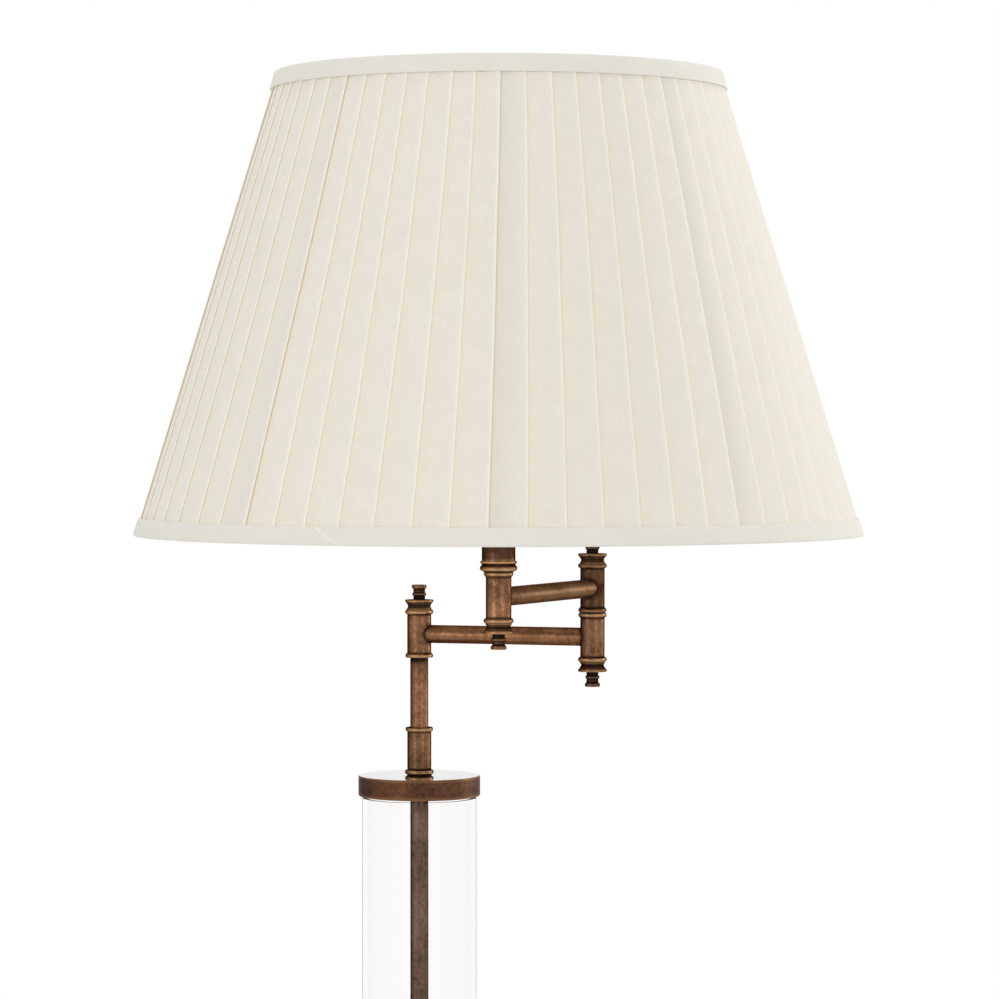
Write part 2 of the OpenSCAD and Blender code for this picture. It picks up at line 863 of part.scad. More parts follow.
// Spun cap of the lampholder: a flat foot, a flare and a straight rim
module holder_cap() {
    rim_r = holder_cap_d / 2;
    foot_r = sleeve_d / 2 + 0.6;
    bow = rim_r - foot_r;
    foot_h = holder_floor / 2;
    in_r = foot_r - holder_wall;
    in_bow = insert_d / 2 - holder_wall - in_r;
    in_h = holder_flare_h - holder_floor;
    turns = [for (i = [1:8]) i * 90 / 8];
    color([0.47, 0.33, 0.22])
        at_riser(holder_z)
            difference() {
                rotate_extrude()
                    polygon(concat(
                        [[0, 0], [foot_r, 0], [foot_r, foot_h]],
                        [for (a = turns) [
                            foot_r + bow * sin(a),
                            foot_h + (holder_flare_h - foot_h) * (1 - cos(a))
                        ]],
                        [[rim_r, holder_cap_h], [0, holder_cap_h]]
                    ));
                rotate_extrude()
                    polygon(concat(
                        [[0, holder_floor], [in_r, holder_floor]],
                        [for (a = turns) [
                            in_r + in_bow * sin(a), holder_floor + in_h * (1 - cos(a))
                        ]],
                        [[rim_r - holder_wall, holder_flare_h],
                            [rim_r - holder_wall, holder_cap_h + 1], [0, holder_cap_h + 1]]
                    ));
                translate([0, 0, -1])
                    cylinder(d = pivot_d + 2 * seat_gap, h = holder_floor + 2);
            }
}

module holder_nut() {
    color([0.7, 0.62, 0.4])
        at_riser(holder_z + holder_floor)
            hexagon(holder_nut_af, pivot_d + 2 * seat_gap, holder_nut_h);
}

// Threaded skirt of the lampholder, closed round the insert by its foot
module holder_skirt() {
    foot_d = skirt_d + 2 * skirt_foot_out;
    edge_r = skirt_band_h / 4;
    color([0.13, 0.11, 0.1])
        at_riser(skirt_z)
            difference() {
                rotate_extrude() {
                    band(foot_d, 0, skirt_band_h, edge_r);
                    rod_part(skirt_d, 0, skirt_h - skirt_band_h / 2);
                    band(skirt_d, skirt_h - skirt_band_h, skirt_band_h, edge_r);
                }
                translate([0, 0, -1])
                    cylinder(d = skirt_bore, h = skirt_h + 2);
            }
}

module holder_insert() {
    color([0.93, 0.92, 0.88])
        at_riser(insert_z)
            difference() {
                rotate_extrude()
                    domed(insert_d / 2, 0, insert_h, insert_h / 10);
                for (side = [-1, 1])
                    translate([side * insert_d * 0.36, 0, insert_h - wire_hole_h])
                        cylinder(d = wire_hole_d, h = wire_hole_h + 1);
            }
}

module holder_shell() {
    color([0.78, 0.66, 0.36])
        at_riser(shell_z)
            difference() {
                cylinder(d = shell_bore + 2 * shell_wall, h = shell_len);
                translate([0, 0, shell_wall])
                    cylinder(d = shell_bore, h = shell_len);
                translate([0, 0, -1])
                    cylinder(d = shell_hole_d, h = shell_wall + 2);
            }
}

module holder_contact() {
    color([0.8, 0.7, 0.4])
        at_riser(shell_z) {
            cylinder(d = contact_d, h = contact_h / 2);
            cylinder(d = contact_d * 0.6, h = contact_h);
        }
}

// Ring nut on the lampholder's skirt, knurled by shallow flutes
module shade_ring(z) {
    flute_n = 24;
    flute_d = shade_ring_h * 0.6;
    at_riser(z)
        difference() {
            rotate_extrude()
                band(shade_ring_d, 0, shade_ring_h, shade_ring_h / 5);
            translate([0, 0, -1])
                cylinder(d = skirt_d + 2 * seat_gap, h = shade_ring_h + 2);
            for (i = [1:flute_n])
                rotate(i * 360 / flute_n)
                    translate([shade_ring_d / 2 + flute_d / 4, 0, -1])
                        cylinder(d = flute_d, h = shade_ring_h + 2, $fn = 24);
        }
}

module lower_shade_ring() {
    color([0.13, 0.11, 0.1])
        shade_ring(lower_ring_z);
}

module upper_shade_ring() {
    color([0.13, 0.11, 0.1])
        shade_ring(spider_z + spider_ring_t);
}

module bulb_cap() {
    bead_h = bulb_turn_h * 2 / 3;
    core_d = bulb_cap_d - bead_h / 2;
    core_z = bulb_tip_h + bead_h;
    color([0.75, 0.75, 0.74])
        at_riser(bulb_z)
            rotate_extrude() {
                rod_part(bulb_tip_d, 0, bulb_tip_h + 1);
                taper(bulb_tip_d, core_d, bulb_tip_h, bead_h);
                rod_part(core_d, core_z, bulb_cap_len - core_z);
                for (i = [0:3])
                    band(bulb_cap_d, core_z + i * bulb_turn_h, bead_h, bead_h / 2);
            }
}

// Hollow globe with a waist that runs down to the screw cap
module bulb_glass() {
    globe_r = bulb_d / 2;
    neck_r = bulb_cap_d / 2 - bulb_step;
    wide_r = neck_r + bulb_flare;
    foot = -bulb_rise;
    wide_z = foot + bulb_flare_h;
    lowest_angle = -50;
    color([0.96, 0.95, 0.9, 0.8])
        at_riser(globe_z)
            rotate_extrude()
                polygon(concat(
                    [[neck_r - bulb_wall, foot], [neck_r, foot], [wide_r, wide_z]],
                    arc([0, 0], globe_r, lowest_angle, 90, 24),
                    arc([0, 0], globe_r - bulb_wall, 90, lowest_angle, 24),
                    [[wide_r - bulb_wall, wide_z]]
                ));
}

// Rods that lie as the spider's spokes do, between two radii
module spokes(d, from, to) {
    for (k = [0:spoke_n - 1])
        rotate(join_angle + k * spoke_panels * panel_angle)
            translate([from, 0, spider_ring_t / 2])
                rotate([0, 90, 0])
                    cylinder(d = d, h = to - from, $fn = 24);
}

// Centre ring and spokes of the shade's wire frame, welded into one piece
module shade_spider() {
    hub_r = shade_ring_d / 2;
    weld_in = (shade_ring_d - skirt_d) / 8;
    strut_at = shade_r(spider_z + spider_ring_t / 2 - shade_z) - wire_depth;
    reach = strut_at - strut_d / 2 / cos(shade_lean) - spoke_d / 2 * tan(shade_lean) - fit;
    color([0.85, 0.84, 0.8])
        at_riser(spider_z)
            difference() {
                union() {
                    cylinder(r = hub_r, h = spider_ring_t);
                    spokes(spoke_d, hub_r - weld_in, reach);
                }
                translate([0, 0, -spoke_d])
                    cylinder(d = skirt_d + 2 * fit, h = 3 * spoke_d);
                for (z = [-spoke_d, spider_ring_t])
                    translate([0, 0, z])
                        cylinder(r = hub_r + fit, h = spoke_d);
            }
}

// One ring of the wire frame, at a height above the shade's lower edge
module ring_wire(v) {
    at_riser(shade_z + v)
        rotate_extrude($fn = 180)
            translate([shade_r(v) - wire_depth, 0])
                circle(d = ring_wire_d, $fn = 24);
}

module bottom_ring_wire() {
    color([0.85, 0.84, 0.8])
        ring_wire(wire_low);
}

module top_ring_wire() {
    color([0.85, 0.84, 0.8])
        ring_wire(wire_high);
}

module shade_struts() {
    end_gap = ring_wire_d / 2 + fit;
    run = (wire_high - wire_low) / cos(shade_lean) - 2 * end_gap;
    color([0.85, 0.84, 0.8])
        at_riser(shade_z + wire_low)
            for (k = [0:panel_n - 1])
                rotate(join_angle + k * panel_angle)
                    translate([shade_r(wire_low) - wire_depth, 0, 0])
                        rotate([0, -shade_lean, 0])
                            translate([0, 0, end_gap])
                                cylinder(d = strut_d, h = run, $fn = 24);
}

// Lining inside the wires, with a hole where each spoke goes through it
module shade_lining() {
    color([0.97, 0.96, 0.92])
        difference() {
            at_riser(shade_z)
                rotate_extrude($fn = 180)
                    polygon([for (p = [[0, cloth_low], [0, cloth_high], [1, cloth_high],
                        [1, cloth_low]])
                        [shade_r(p[1]) - lining_depth - p[0] * lining_t, p[1]]]);
            at_riser(spider_z)
                spokes(spoke_d + 2 * fit, shade_top_d / 4, shade_bottom_d / 2);
        }
}

// Knife pleats. Each rises from the fold of the one before it to its own fold.
fold_shape = [[0, -1], [0.5, -0.42], [0.9, -0.06], [0.985, 0]];

// The last pleat of a panel is doubled, because the next panel is joined under it.
function is_double(k) = (k + 1) % panel_pleats == 0;

// One round of points at height v: pleats outside, or the smooth back at a fixed depth
function pleat_round(v, back) = [
    for (k = [0:pleat_n - 1], f = fold_shape)
        let (
            a = join_angle + (k + f[0]) * pleat_angle,
            lift = is_double(k) ? double_lift * (1 + f[1]) : 0,
            r = shade_r(v) + (back ? -cloth_depth : f[1] * pleat_step + lift - double_lift)
        )
        [r * cos(a), r * sin(a), v]
];

module shade_cover() {
    n = pleat_n * len(fold_shape);
    points = concat(pleat_round(cloth_low, false), pleat_round(cloth_high, false),
        pleat_round(cloth_high, true), pleat_round(cloth_low, true));
    faces = [
        for (side = [0:3], i = [0:n - 1])
            let (
                a = side * n + i,
                b = side * n + (i + 1) % n,
                c = (side + 1) % 4 * n + (i + 1) % n,
                d = (side + 1) % 4 * n + i
            )
            each [[a, c, b], [a, d, c]]
    ];
    color([0.92, 0.9, 0.84])
        at_riser(shade_z)
            polyhedron(points, faces, convexity = 6);
}

// Edge tape folded over a rim, with its outline given for the lower rim
module edge_tape(v_edge, up) {
    lean = up * tan(shade_lean);
    out = tape_t + fit;
    in = -tape_depth - tape_in_t;
    in_h = tape_h * 0.8;
    round_r = tape_h / 10;
    small_r = round_r / 2;
    rotate_extrude($fn = 180)
        translate([shade_r(v_edge), v_edge])
            scale([1, up])
                polygon(concat(
                    [[fit - lean * tape_t, tape_t], [fit - lean * tape_h, tape_h]],
                    arc([out - small_r - lean * (tape_h - small_r), tape_h - small_r],
                        small_r, 90, 0, 3),
                    arc([out - round_r, round_r], round_r, 0, -90),
                    arc([in + round_r, round_r], round_r, -90, -180),
                    [[in - lean * in_h, in_h], [-tape_depth - lean * in_h, in_h],
                        [-tape_depth - lean * tape_t, tape_t]]
                ));
}

module bottom_tape() {
    color([0.9, 0.88, 0.82])
        at_riser(shade_z)
            edge_tape(0, 1);
}

module top_tape() {
    color([0.9, 0.88, 0.82])
        at_riser(shade_z)
            edge_tape(shade_h, -1);
}

base_cover();
base_weight();
base_felt();
cable_gland();
rod_washer();
rod_nut();
lower_plate();
lower_gasket();
glass_tube();
upper_gasket();
upper_plate();
tie_rod();
post_collar();
neck_tube();
column_washer();
column_pivot();
column_flex();
column_knuckle();
column_finial();
lower_arm_tube();
elbow_lower_knuckle();
elbow_lower_finial();
elbow_washer();
elbow_pivot();
lower_arm_flex();
elbow_upper_knuckle();
elbow_upper_finial();
upper_arm_tube();
socket_knuckle();
socket_finial();
upper_arm_flex();
riser_nipple();
riser_collar();
riser_sleeve();
holder_cap();
holder_nut();
holder_skirt();
holder_insert();
holder_shell();
holder_contact();
lower_shade_ring();
upper_shade_ring();
bulb_cap();
bulb_glass();
shade_spider();
bottom_ring_wire();
top_ring_wire();
shade_struts();
shade_lining();
shade_cover();
bottom_tape();
top_tape();
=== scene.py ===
# %% [markdown]
# # A floor lamp with a glass column, a swing arm and a pleated shade
#
# The lamp stands on a weighted round base. A rod inside a glass tube clamps the tube between
# two bronze plates, a short post above it carries two swinging arms, and the second arm
# carries a lampholder with an empire shade of knife-pleated cloth.
#
# The imported model gives every piece its place and size. This script gives the pieces their
# finish: it spins the turned metal parts again with enough points to hold wear, wax and
# painted shade, folds the shade's cloth pleat by pleat, and builds a procedural material for
# each surface.

# %% Load the frame
import math
import random

import bpy
import numpy as np
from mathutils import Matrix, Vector
from mathutils.bvhtree import BVHTree


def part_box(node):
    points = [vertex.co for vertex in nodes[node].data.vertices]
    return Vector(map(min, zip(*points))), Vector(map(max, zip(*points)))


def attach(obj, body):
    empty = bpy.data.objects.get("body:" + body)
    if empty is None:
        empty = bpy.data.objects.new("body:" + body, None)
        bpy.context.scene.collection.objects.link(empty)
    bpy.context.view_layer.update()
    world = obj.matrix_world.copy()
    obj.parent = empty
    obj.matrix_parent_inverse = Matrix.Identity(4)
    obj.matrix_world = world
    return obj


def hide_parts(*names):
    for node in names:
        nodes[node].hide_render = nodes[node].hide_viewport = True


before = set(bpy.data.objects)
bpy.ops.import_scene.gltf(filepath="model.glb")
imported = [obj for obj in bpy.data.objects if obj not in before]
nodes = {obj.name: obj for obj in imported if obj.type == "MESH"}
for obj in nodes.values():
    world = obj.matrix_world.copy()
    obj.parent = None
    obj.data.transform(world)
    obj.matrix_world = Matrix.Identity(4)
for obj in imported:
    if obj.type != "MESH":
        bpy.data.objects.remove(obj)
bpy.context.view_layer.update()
MM = 0.001
UP = Vector((0, 0, 1))

# %% [markdown]
# ## The lamp's three upright axes
#
# Everything that turns on this lamp turns about an upright line: the column's axis, the elbow
# between the arms, and the riser under the lampholder. The frame knows them, because each has
# a round piece centred on it, so the script measures those pieces and writes no places down.

# %% Measure the axes and the arms' heights
def middle(node):
    """Centre of a CAD node's box."""
    lo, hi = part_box(node)
    return (lo + hi) / 2


def flat(point):
    """The same place on the floor."""
    return Vector((point.x, point.y, 0))


column_axis = Vector((0, 0, 0))
elbow_axis = flat(middle("elbow_washer"))
riser_axis = flat(middle("riser_sleeve"))
lower_arm_z = middle("lower_arm_tube").z
upper_arm_z = middle("upper_arm_tube").z
print("elbow:", elbow_axis, "riser:", riser_axis)
print("arm heights:", round(lower_arm_z, 4), round(upper_arm_z, 4))

# %% [markdown]
# ## Camera
#
# The photograph is a long-lens view from just above the arms, a little downwards. A lens of
# 139 mm on a 36 mm sensor gives its weak perspective, and no shift is needed: the slight
# pitch puts the horizon where the shade's curves and the arms say that it is, and a small
# turn follows the way the shade stands.

# %% Place the camera
CAMERA_X = 0.0637
CAMERA_Y = -2.562
CAMERA_RISE = 0.1465
CAMERA_PITCH = math.radians(1.28)
CAMERA_TURN = math.radians(0.224)
LENS = 138.9

bpy.ops.object.select_all(action="DESELECT")
bpy.ops.object.camera_add(
    location=(CAMERA_X, CAMERA_Y, lower_arm_z + CAMERA_RISE),
    rotation=(math.pi / 2 - CAMERA_PITCH, 0, CAMERA_TURN))
camera = bpy.context.object
camera.name = "photo_camera"
camera.data.sensor_width = 36
camera.data.lens = LENS
bpy.context.scene.camera = camera
print("camera at", camera.location)

# %% [markdown]
# ## Studio
#
# A product is photographed in a white tent: light comes from everywhere, and a few soft lamps
# give it a direction. The world is white for the rays that the camera, the metal and the
# glass send out, and weaker as a light, so that a cloth of a given colour renders about as it
# is written. A photographer stands dark cards behind the object, left and right, so that
# metal gets dark outlines: here the world is darker in those two directions, for reflections
# alone, and the left card reaches further round. Light that is partway through the glass tube
# doesn't see the cards, because they would draw black lines down the tube's edges. The floor
# is a pale sweep that fades to white away from the lamp.

# %% Helpers for shader nodes
class Wiring:
    """A shader's node tree, with short ways to add and link nodes."""

    def __init__(self, tree):
        self.tree = tree

    def fill(self, node, inputs):
        """Fills a node's inputs, by name or number, from sockets or with plain values."""
        for name, value in inputs.items():
            if isinstance(value, bpy.types.NodeSocket):
                self.tree.links.new(value, node.inputs[name])
            else:
                node.inputs[name].default_value = value

    def node(self, kind, inputs=None, **settings):
        """Adds a shader node of a kind, such as Math, sets its properties, fills its inputs."""
        node = self.tree.nodes.new("ShaderNode" + kind)
        for name, value in settings.items():
            setattr(node, name, value)
        self.fill(node, inputs or {})
        return node

    def maths(self, operation, a, b=0.0, clamp=False):
        """One step of arithmetic on values."""
        return self.node("Math", {0: a, 1: b}, operation=operation, use_clamp=clamp).outputs[0]

    def plus(self, a, b):
        """Two values added."""
        return self.maths("ADD", a, b)

    def minus(self, a, b):
        """One value less another."""
        return self.maths("SUBTRACT", a, b)

    def times(self, a, b, clamp=False):
        """Two values multiplied."""
        return self.maths("MULTIPLY", a, b, clamp)

    def size_of(self, value):
        """A value without its sign."""
        return self.maths("ABSOLUTE", value)

    def mix(self, share, low, high):
        """A colour between two others."""
        return self.node("Mix", {0: share, 6: low, 7: high}, data_type="RGBA").outputs[2]

    def ramp(self, value, low, high, to_low=0.0, to_high=1.0):
        """Spreads a part of a value's range over a new one, clamped at both ends."""
        return self.node("MapRange",
                         {0: value, 1: low, 2: high, 3: to_low, 4: to_high}).outputs[0]

    def noise(self, vector, scale, detail=2.0, roughness=0.5):
        """Soft noise between 0 and 1."""
        return self.node("TexNoise", {"Vector": vector, "Scale": scale, "Detail": detail,
                                      "Roughness": roughness}).outputs[0]


# %% World
SOFT_LEVEL = 0.745
CARD_DARKNESS = 0.78


def seen_white(tree, rays):
    """1 for what the camera, the metal and the glass see, 0 for light on the object."""
    seen = tree.maths("MAXIMUM", rays["Is Camera Ray"], rays["Is Glossy Ray"])
    return tree.maths("MAXIMUM", seen, rays["Is Transmission Ray"])


world = bpy.data.worlds.new("white_tent")
bpy.context.scene.world = world
world.use_nodes = True
tent = Wiring(world.node_tree)
rays = tent.node("LightPath").outputs
heading = tent.node("SeparateXYZ", {0: tent.node("TexCoord").outputs["Generated"]}).outputs
nearer = tent.ramp(heading["X"], -0.1, 0.1, -0.15, 0.4)
further = tent.ramp(heading["X"], -0.1, 0.1, 0.55, 0.75)
cards = tent.minus(tent.ramp(heading["Y"], nearer, further),
                   tent.ramp(heading["Y"], 0.8, 0.92))
cards = tent.times(cards, tent.ramp(tent.size_of(heading["Z"]), 0.3, 0.6, 1.0, 0.0))
cards = tent.times(cards, tent.maths("MINIMUM", rays["Glossy Depth"], 1.0))
mid_wall = tent.size_of(tent.minus(rays["Transmission Depth"], 2.0))
cards = tent.times(cards, tent.ramp(mid_wall, 1.2, 1.8))
tent.fill(world.node_tree.nodes["Background"], {
    "Color": (1, 1, 1, 1),
    "Strength": tent.minus(tent.ramp(seen_white(tent, rays), 0, 1, SOFT_LEVEL, 1.0),
                           tent.times(cards, CARD_DARKNESS)),
})
bpy.context.scene.view_settings.view_transform = "Standard"
print("world: white when seen,", SOFT_LEVEL, "as a light")

# %% Soft lamps
LAMP_AIM = Vector((0.05, -0.1, 1.3))


def soft_lamp(name, place, width, height, power):
    """A softbox that faces the lamp's head."""
    bpy.ops.object.select_all(action="DESELECT")
    bpy.ops.object.light_add(type="AREA", location=place)
    lamp = bpy.context.object
    lamp.name = name
    lamp.data.shape = "RECTANGLE"
    lamp.data.size = width
    lamp.data.size_y = height
    lamp.data.energy = power
    lamp.rotation_euler = (LAMP_AIM - Vector(place)).to_track_quat("-Z", "Y").to_euler()


soft_lamp("softbox_right", (2.5, 0.95, 1.8), 0.6, 1.8, 18.5)
soft_lamp("softbox_front", (1.5, -2.1, 1.6), 0.7, 1.6, 6.5)
soft_lamp("softbox_left", (-1.7, -2.0, 1.6), 0.8, 1.6, 10.5)
soft_lamp("softbox_top", (0.1, 0.3, 3.2), 1.6, 1.6, 10)
print("four soft lamps")

# %% Start a material
def material_start(name):
    """A new material, its wiring, its Principled shader and its Object coordinates."""
    material = bpy.data.materials.new(name)
    material.use_nodes = True
    tree = Wiring(material.node_tree)
    shader = material.node_tree.nodes["Principled BSDF"]
    return material, tree, shader, tree.node("TexCoord").outputs["Object"]


# %% Floor
FLOOR_SIZE = 6.0
FADE_START, FADE_END = 0.25, 1.1

bpy.ops.object.select_all(action="DESELECT")
bpy.ops.mesh.primitive_plane_add(size=FLOOR_SIZE, location=(0, 0, 0))
floor = bpy.context.object
floor.name = "studio_floor"
sweep, tree, paper, place = material_start("studio_sweep")
tree.fill(paper, {"Base Color": (0.86, 0.86, 0.86, 1), "Roughness": 0.7})
away = tree.node("VectorMath", {0: place}, operation="LENGTH").outputs["Value"]
glow = tree.node("Emission", {"Color": (1, 1, 1, 1), "Strength": 1.0})
fade = tree.times(seen_white(tree, tree.node("LightPath").outputs),
                  tree.ramp(away, FADE_START, FADE_END))
blend = tree.node("MixShader", {0: fade, 1: paper.outputs[0], 2: glow.outputs[0]})
tree.fill(sweep.node_tree.nodes["Material Output"], {"Surface": blend.outputs[0]})
floor.data.materials.append(sweep)
print("floor:", FLOOR_SIZE, "m square")

# %% [markdown]
# ## Shader groups shared by several finishes
#
# Three effects come back on many pieces, so each is a node group that puts out masks, colours
# and heights, while the Principled shader stays in each material:
#
# - **Aged metal**: brush marks along one direction, soft blotches, bare edges where `wear` is
#   high, and dark wax with painted shade where `wax_and_shade` is high.
# - **Plain weave**: threads that pass over and under each other, with a little slub.
# - **Speckle**: the fine mottling and pitting of moulded and cast surfaces.

# %% A helper that starts a group
def start_group(name, inputs, outputs):
    """A new shader group, its wiring, what it is given and the node for what it makes."""
    group = bpy.data.node_groups.new(name, "ShaderNodeTree")
    for way, labels in (("INPUT", inputs), ("OUTPUT", outputs)):
        for label, kind in labels.items():
            group.interface.new_socket(name=label, in_out=way,
                                       socket_type="NodeSocket" + kind)
    given = group.nodes.new("NodeGroupInput").outputs
    return group, Wiring(group), given, group.nodes.new("NodeGroupOutput")


# %% Read a colour off a screen
def screen_colour(red, green, blue):
    """A colour read off a screen, 0 to 255, as the linear colour that a shader takes."""
    def linear(level):
        level /= 255
        return level / 12.92 if level <= 0.04045 else ((level + 0.055) / 1.055) ** 2.4
    return (linear(red), linear(green), linear(blue), 1.0)


# %% Aged metal
BLACK_WAX_AND_SHADE = screen_colour(34, 23, 17)

aged_metal, tree, given, made = start_group(
    "Aged metal",
    {"Brushed": "Vector", "Place": "Vector", "Wear": "Float", "Wax_and_shade": "Float",
     "Deep": "Color", "Body": "Color", "Bright": "Color"},
    {"Color": "Color", "Roughness": "Float", "Height": "Float"})
brushing = tree.noise(given["Brushed"], 900, 3, 0.6)
blotch = tree.noise(given["Place"], 55, 4, 0.6)
mottle = tree.noise(given["Place"], 420, 3, 0.65)
uneven = tree.ramp(tree.plus(tree.times(blotch, 0.55), tree.times(mottle, 0.45)), 0.36, 0.64)
streaky = tree.plus(tree.times(uneven, 0.6), tree.times(brushing, 0.4))
ground = tree.mix(tree.ramp(streaky, 0.25, 0.75, 0.0, 0.75), given["Body"], given["Deep"])
rubbed = tree.times(given["Wear"], tree.ramp(mottle, 0.25, 0.7, 0.55, 1.0), clamp=True)
# The wax mask also carries painted shade: hollows, joints and the skin under rings are darkened
# for shade as well as for wax.
waxed = tree.times(given["Wax_and_shade"], tree.ramp(uneven, 0.0, 1.0, 0.8, 1.0), clamp=True)
dull = tree.plus(tree.ramp(streaky, 0.2, 0.8, 0.32, 0.46), tree.times(waxed, 0.25))
tree.fill(made, {
    "Color": tree.mix(waxed, tree.mix(rubbed, ground, given["Bright"]), BLACK_WAX_AND_SHADE),
    "Roughness": tree.minus(dull, tree.times(rubbed, 0.06)),
    "Height": tree.plus(tree.times(brushing, 0.7), tree.times(mottle, 0.3)),
})
print("group:", aged_metal.name)

# %% Plain weave
plain_weave, tree, given, made = start_group(
    "Plain weave", {"Threads": "Vector", "Slub": "Float"}, {"Height": "Float", "Tone": "Float"})
threads = given["Threads"]
crests = [tree.size_of(tree.maths("SINE", tree.times(lane, math.pi)))
          for lane in tree.node("SeparateXYZ", {0: threads}).outputs[:2]]
over = tree.node("TexChecker", {"Vector": threads, "Scale": 1.0}).outputs["Fac"]
woven = tree.node("Mix", {0: over, 2: crests[0], 3: crests[1]}).outputs[0]
upright = tree.node("VectorMath", {0: threads, 1: (0.9, 0.06, 1)}, operation="MULTIPLY")
slubs = tree.noise(upright.outputs[0], 1.0, 3)
cloudy = tree.noise(threads, 0.03, 3)
grain = tree.noise(threads, 0.5, 2, 0.7)
tone = tree.plus(tree.times(slubs, 0.3), tree.times(cloudy, 0.2))
tree.fill(made, {
    "Height": tree.plus(woven, tree.times(slubs, given["Slub"])),
    "Tone": tree.ramp(tree.plus(tone, tree.times(grain, 0.5)), 0.35, 0.65),
})
print("group:", plain_weave.name)

# %% Speckle
speckle, tree, given, made = start_group(
    "Speckle", {"Place": "Vector", "Fineness": "Float"}, {"Tone": "Float", "Height": "Float"})
fine = tree.noise(given["Place"], given["Fineness"], 4, 0.6)
broad = tree.noise(given["Place"], tree.times(given["Fineness"], 0.07), 3)
tree.fill(made, {"Tone": tree.ramp(tree.plus(fine, broad), 0.7, 1.3), "Height": fine})
print("group:", speckle.name)

# %% [markdown]
# ## Bronze finishes
#
# The metal is steel and brass tube under an antique bronze finish: a brown ground, rubbed
# through to a golden tone on every bead and rim, with dark wax and painted shade in the
# hollows. One function builds it. The brush marks need a direction: up a barrel or a post,
# along an arm, or round a plate. A Mapping node squeezes the pattern's space along that
# direction, and for the round marks of a lathe the pattern reads radius and height in place
# of x and y. The upper plate alone is lacquered on top, where it mirrors the white tent.

# %% Read a stored value, and raise a surface
def attribute(tree, name):
    """A value that is stored on a piece's points."""
    return tree.node("Attribute", attribute_name=name).outputs["Fac"]


def bump(tree, height, distance):
    """A normal that follows a height, in metres."""
    return tree.node("Bump", {"Height": height, "Distance": distance}).outputs[0]


# %% Bronze material
STRETCH = 14.0
# A near-black Specular Tint darkens the metal's reflection at its edges: a painted dark
# reflection, in place of dark surroundings.
DARK_LIMB_REFLECTION = (0.1, 0.08, 0.06, 1)


def bronze(name, body, deep, bright, along="up", turn=0.0, tint=DARK_LIMB_REFLECTION):
    """Antique bronze, brushed up, along an arm turned by an angle, or round the column."""
    material, tree, shader, place = material_start("bronze_" + name)
    if along == "round":
        x, y, z = tree.node("SeparateXYZ", {0: place}).outputs
        level = tree.node("CombineXYZ", {0: x, 1: y}).outputs[0]
        reach = tree.node("VectorMath", {0: level}, operation="LENGTH").outputs["Value"]
        brushed = tree.node("CombineXYZ", {0: reach, 2: z}).outputs[0]
    else:
        stretch = (1, 1, STRETCH) if along == "up" else (STRETCH, 1, 1)
        brushed = tree.node("Mapping", {"Vector": place, "Rotation": (0, 0, turn),
                                        "Scale": stretch}, vector_type="TEXTURE").outputs[0]
    metal = tree.node("Group", {
        "Brushed": brushed, "Place": place, "Wear": attribute(tree, "wear"),
        "Wax_and_shade": attribute(tree, "wax_and_shade"), "Deep": screen_colour(*deep),
        "Body": screen_colour(*body), "Bright": screen_colour(*bright),
    }, node_tree=aged_metal).outputs
    tree.fill(shader, {
        "Base Color": metal["Color"], "Roughness": metal["Roughness"], "Metallic": 1.0,
        "Specular Tint": tint, "Normal": bump(tree, metal["Height"], 0.03 * MM),
    })
    return material


# %% Mix the bronze finishes
# These are copies of one bronze: the elbow, dark and cap copies are darker, painted shade for
# pieces that stand under the lampshade, and the two arm copies are lighter, painted light that
# makes up for the shade on the arms.
arm_turn = {
    "lower": math.atan2(elbow_axis.y, elbow_axis.x),
    "upper": math.atan2(riser_axis.y - elbow_axis.y, riser_axis.x - elbow_axis.x),
}
BODY, DEEP, BRIGHT = (154, 112, 82), (84, 56, 39), (232, 184, 132)
bronze_upright = bronze("upright", BODY, DEEP, BRIGHT)
bronze_elbow_shaded = bronze("elbow", (134, 98, 72), (74, 50, 35), BRIGHT)
bronze_collar = bronze("collar", (132, 96, 71), (72, 49, 35), BRIGHT)
bronze_dark = bronze("dark", (108, 77, 56), (60, 41, 30), (184, 138, 95))
bronze_cap_shaded = bronze("cap", (92, 66, 48), (52, 36, 26), (158, 118, 82))
bronze_sleeve = bronze("sleeve", (104, 74, 56), (58, 40, 31), (150, 108, 72))
bronze_rod = bronze("rod", (118, 96, 80), (66, 51, 42), (170, 130, 92))
bronze_lower_arm_lit = bronze("lower_arm", (150, 107, 76), (88, 59, 41), BRIGHT,
                          "arm", arm_turn["lower"])
bronze_upper_arm_lit = bronze("upper_arm", (172, 138, 110), (106, 78, 60), BRIGHT,
                          "arm", arm_turn["upper"])
bronze_base = bronze("base", (118, 82, 60), (64, 43, 31), (176, 132, 94), "round",
                     tint=(0.7, 0.66, 0.62, 1))
bronze_plate = bronze("plate", (104, 71, 52), (58, 38, 28), (150, 112, 80), "round",
                      tint=(1, 1, 1, 1))
print("bronze finishes:", aged_metal.users)

# %% Lacquer on the upper plate's top
tree = Wiring(bronze_plate.node_tree)
shader = bronze_plate.node_tree.nodes["Principled BSDF"]
facing = tree.node("NewGeometry").outputs["Normal"]
on_top = tree.ramp(tree.node("SeparateXYZ", {0: facing}).outputs["Z"], 0.9, 0.99)
duller = tree.plus(shader.inputs["Roughness"].links[0].from_socket, 0.12)
tree.fill(shader, {
    "Coat Weight": on_top, "Coat Roughness": 0.03, "Coat IOR": 1.9,
    "Roughness": tree.node("Mix", {0: on_top, 2: duller, 3: 0.12}).outputs[0],
})
print("lacquered:", bronze_plate.name)

# %% [markdown]
# ## Turned parts
#
# Most of the lamp came off a lathe. A lathe part is its outline spun round its axis, so the
# tool for it is *Spin*: one vertex is extruded along the outline and spun through a full
# turn. The outline is read off the frame's own solid with rays, which keeps the dressed part
# exactly as large as the solid, and long stretches are divided, because the next step stores
# wear, wax and painted shade on the points.

# %% Read an outline off the frame
BACK = Vector((0, 1, 0))


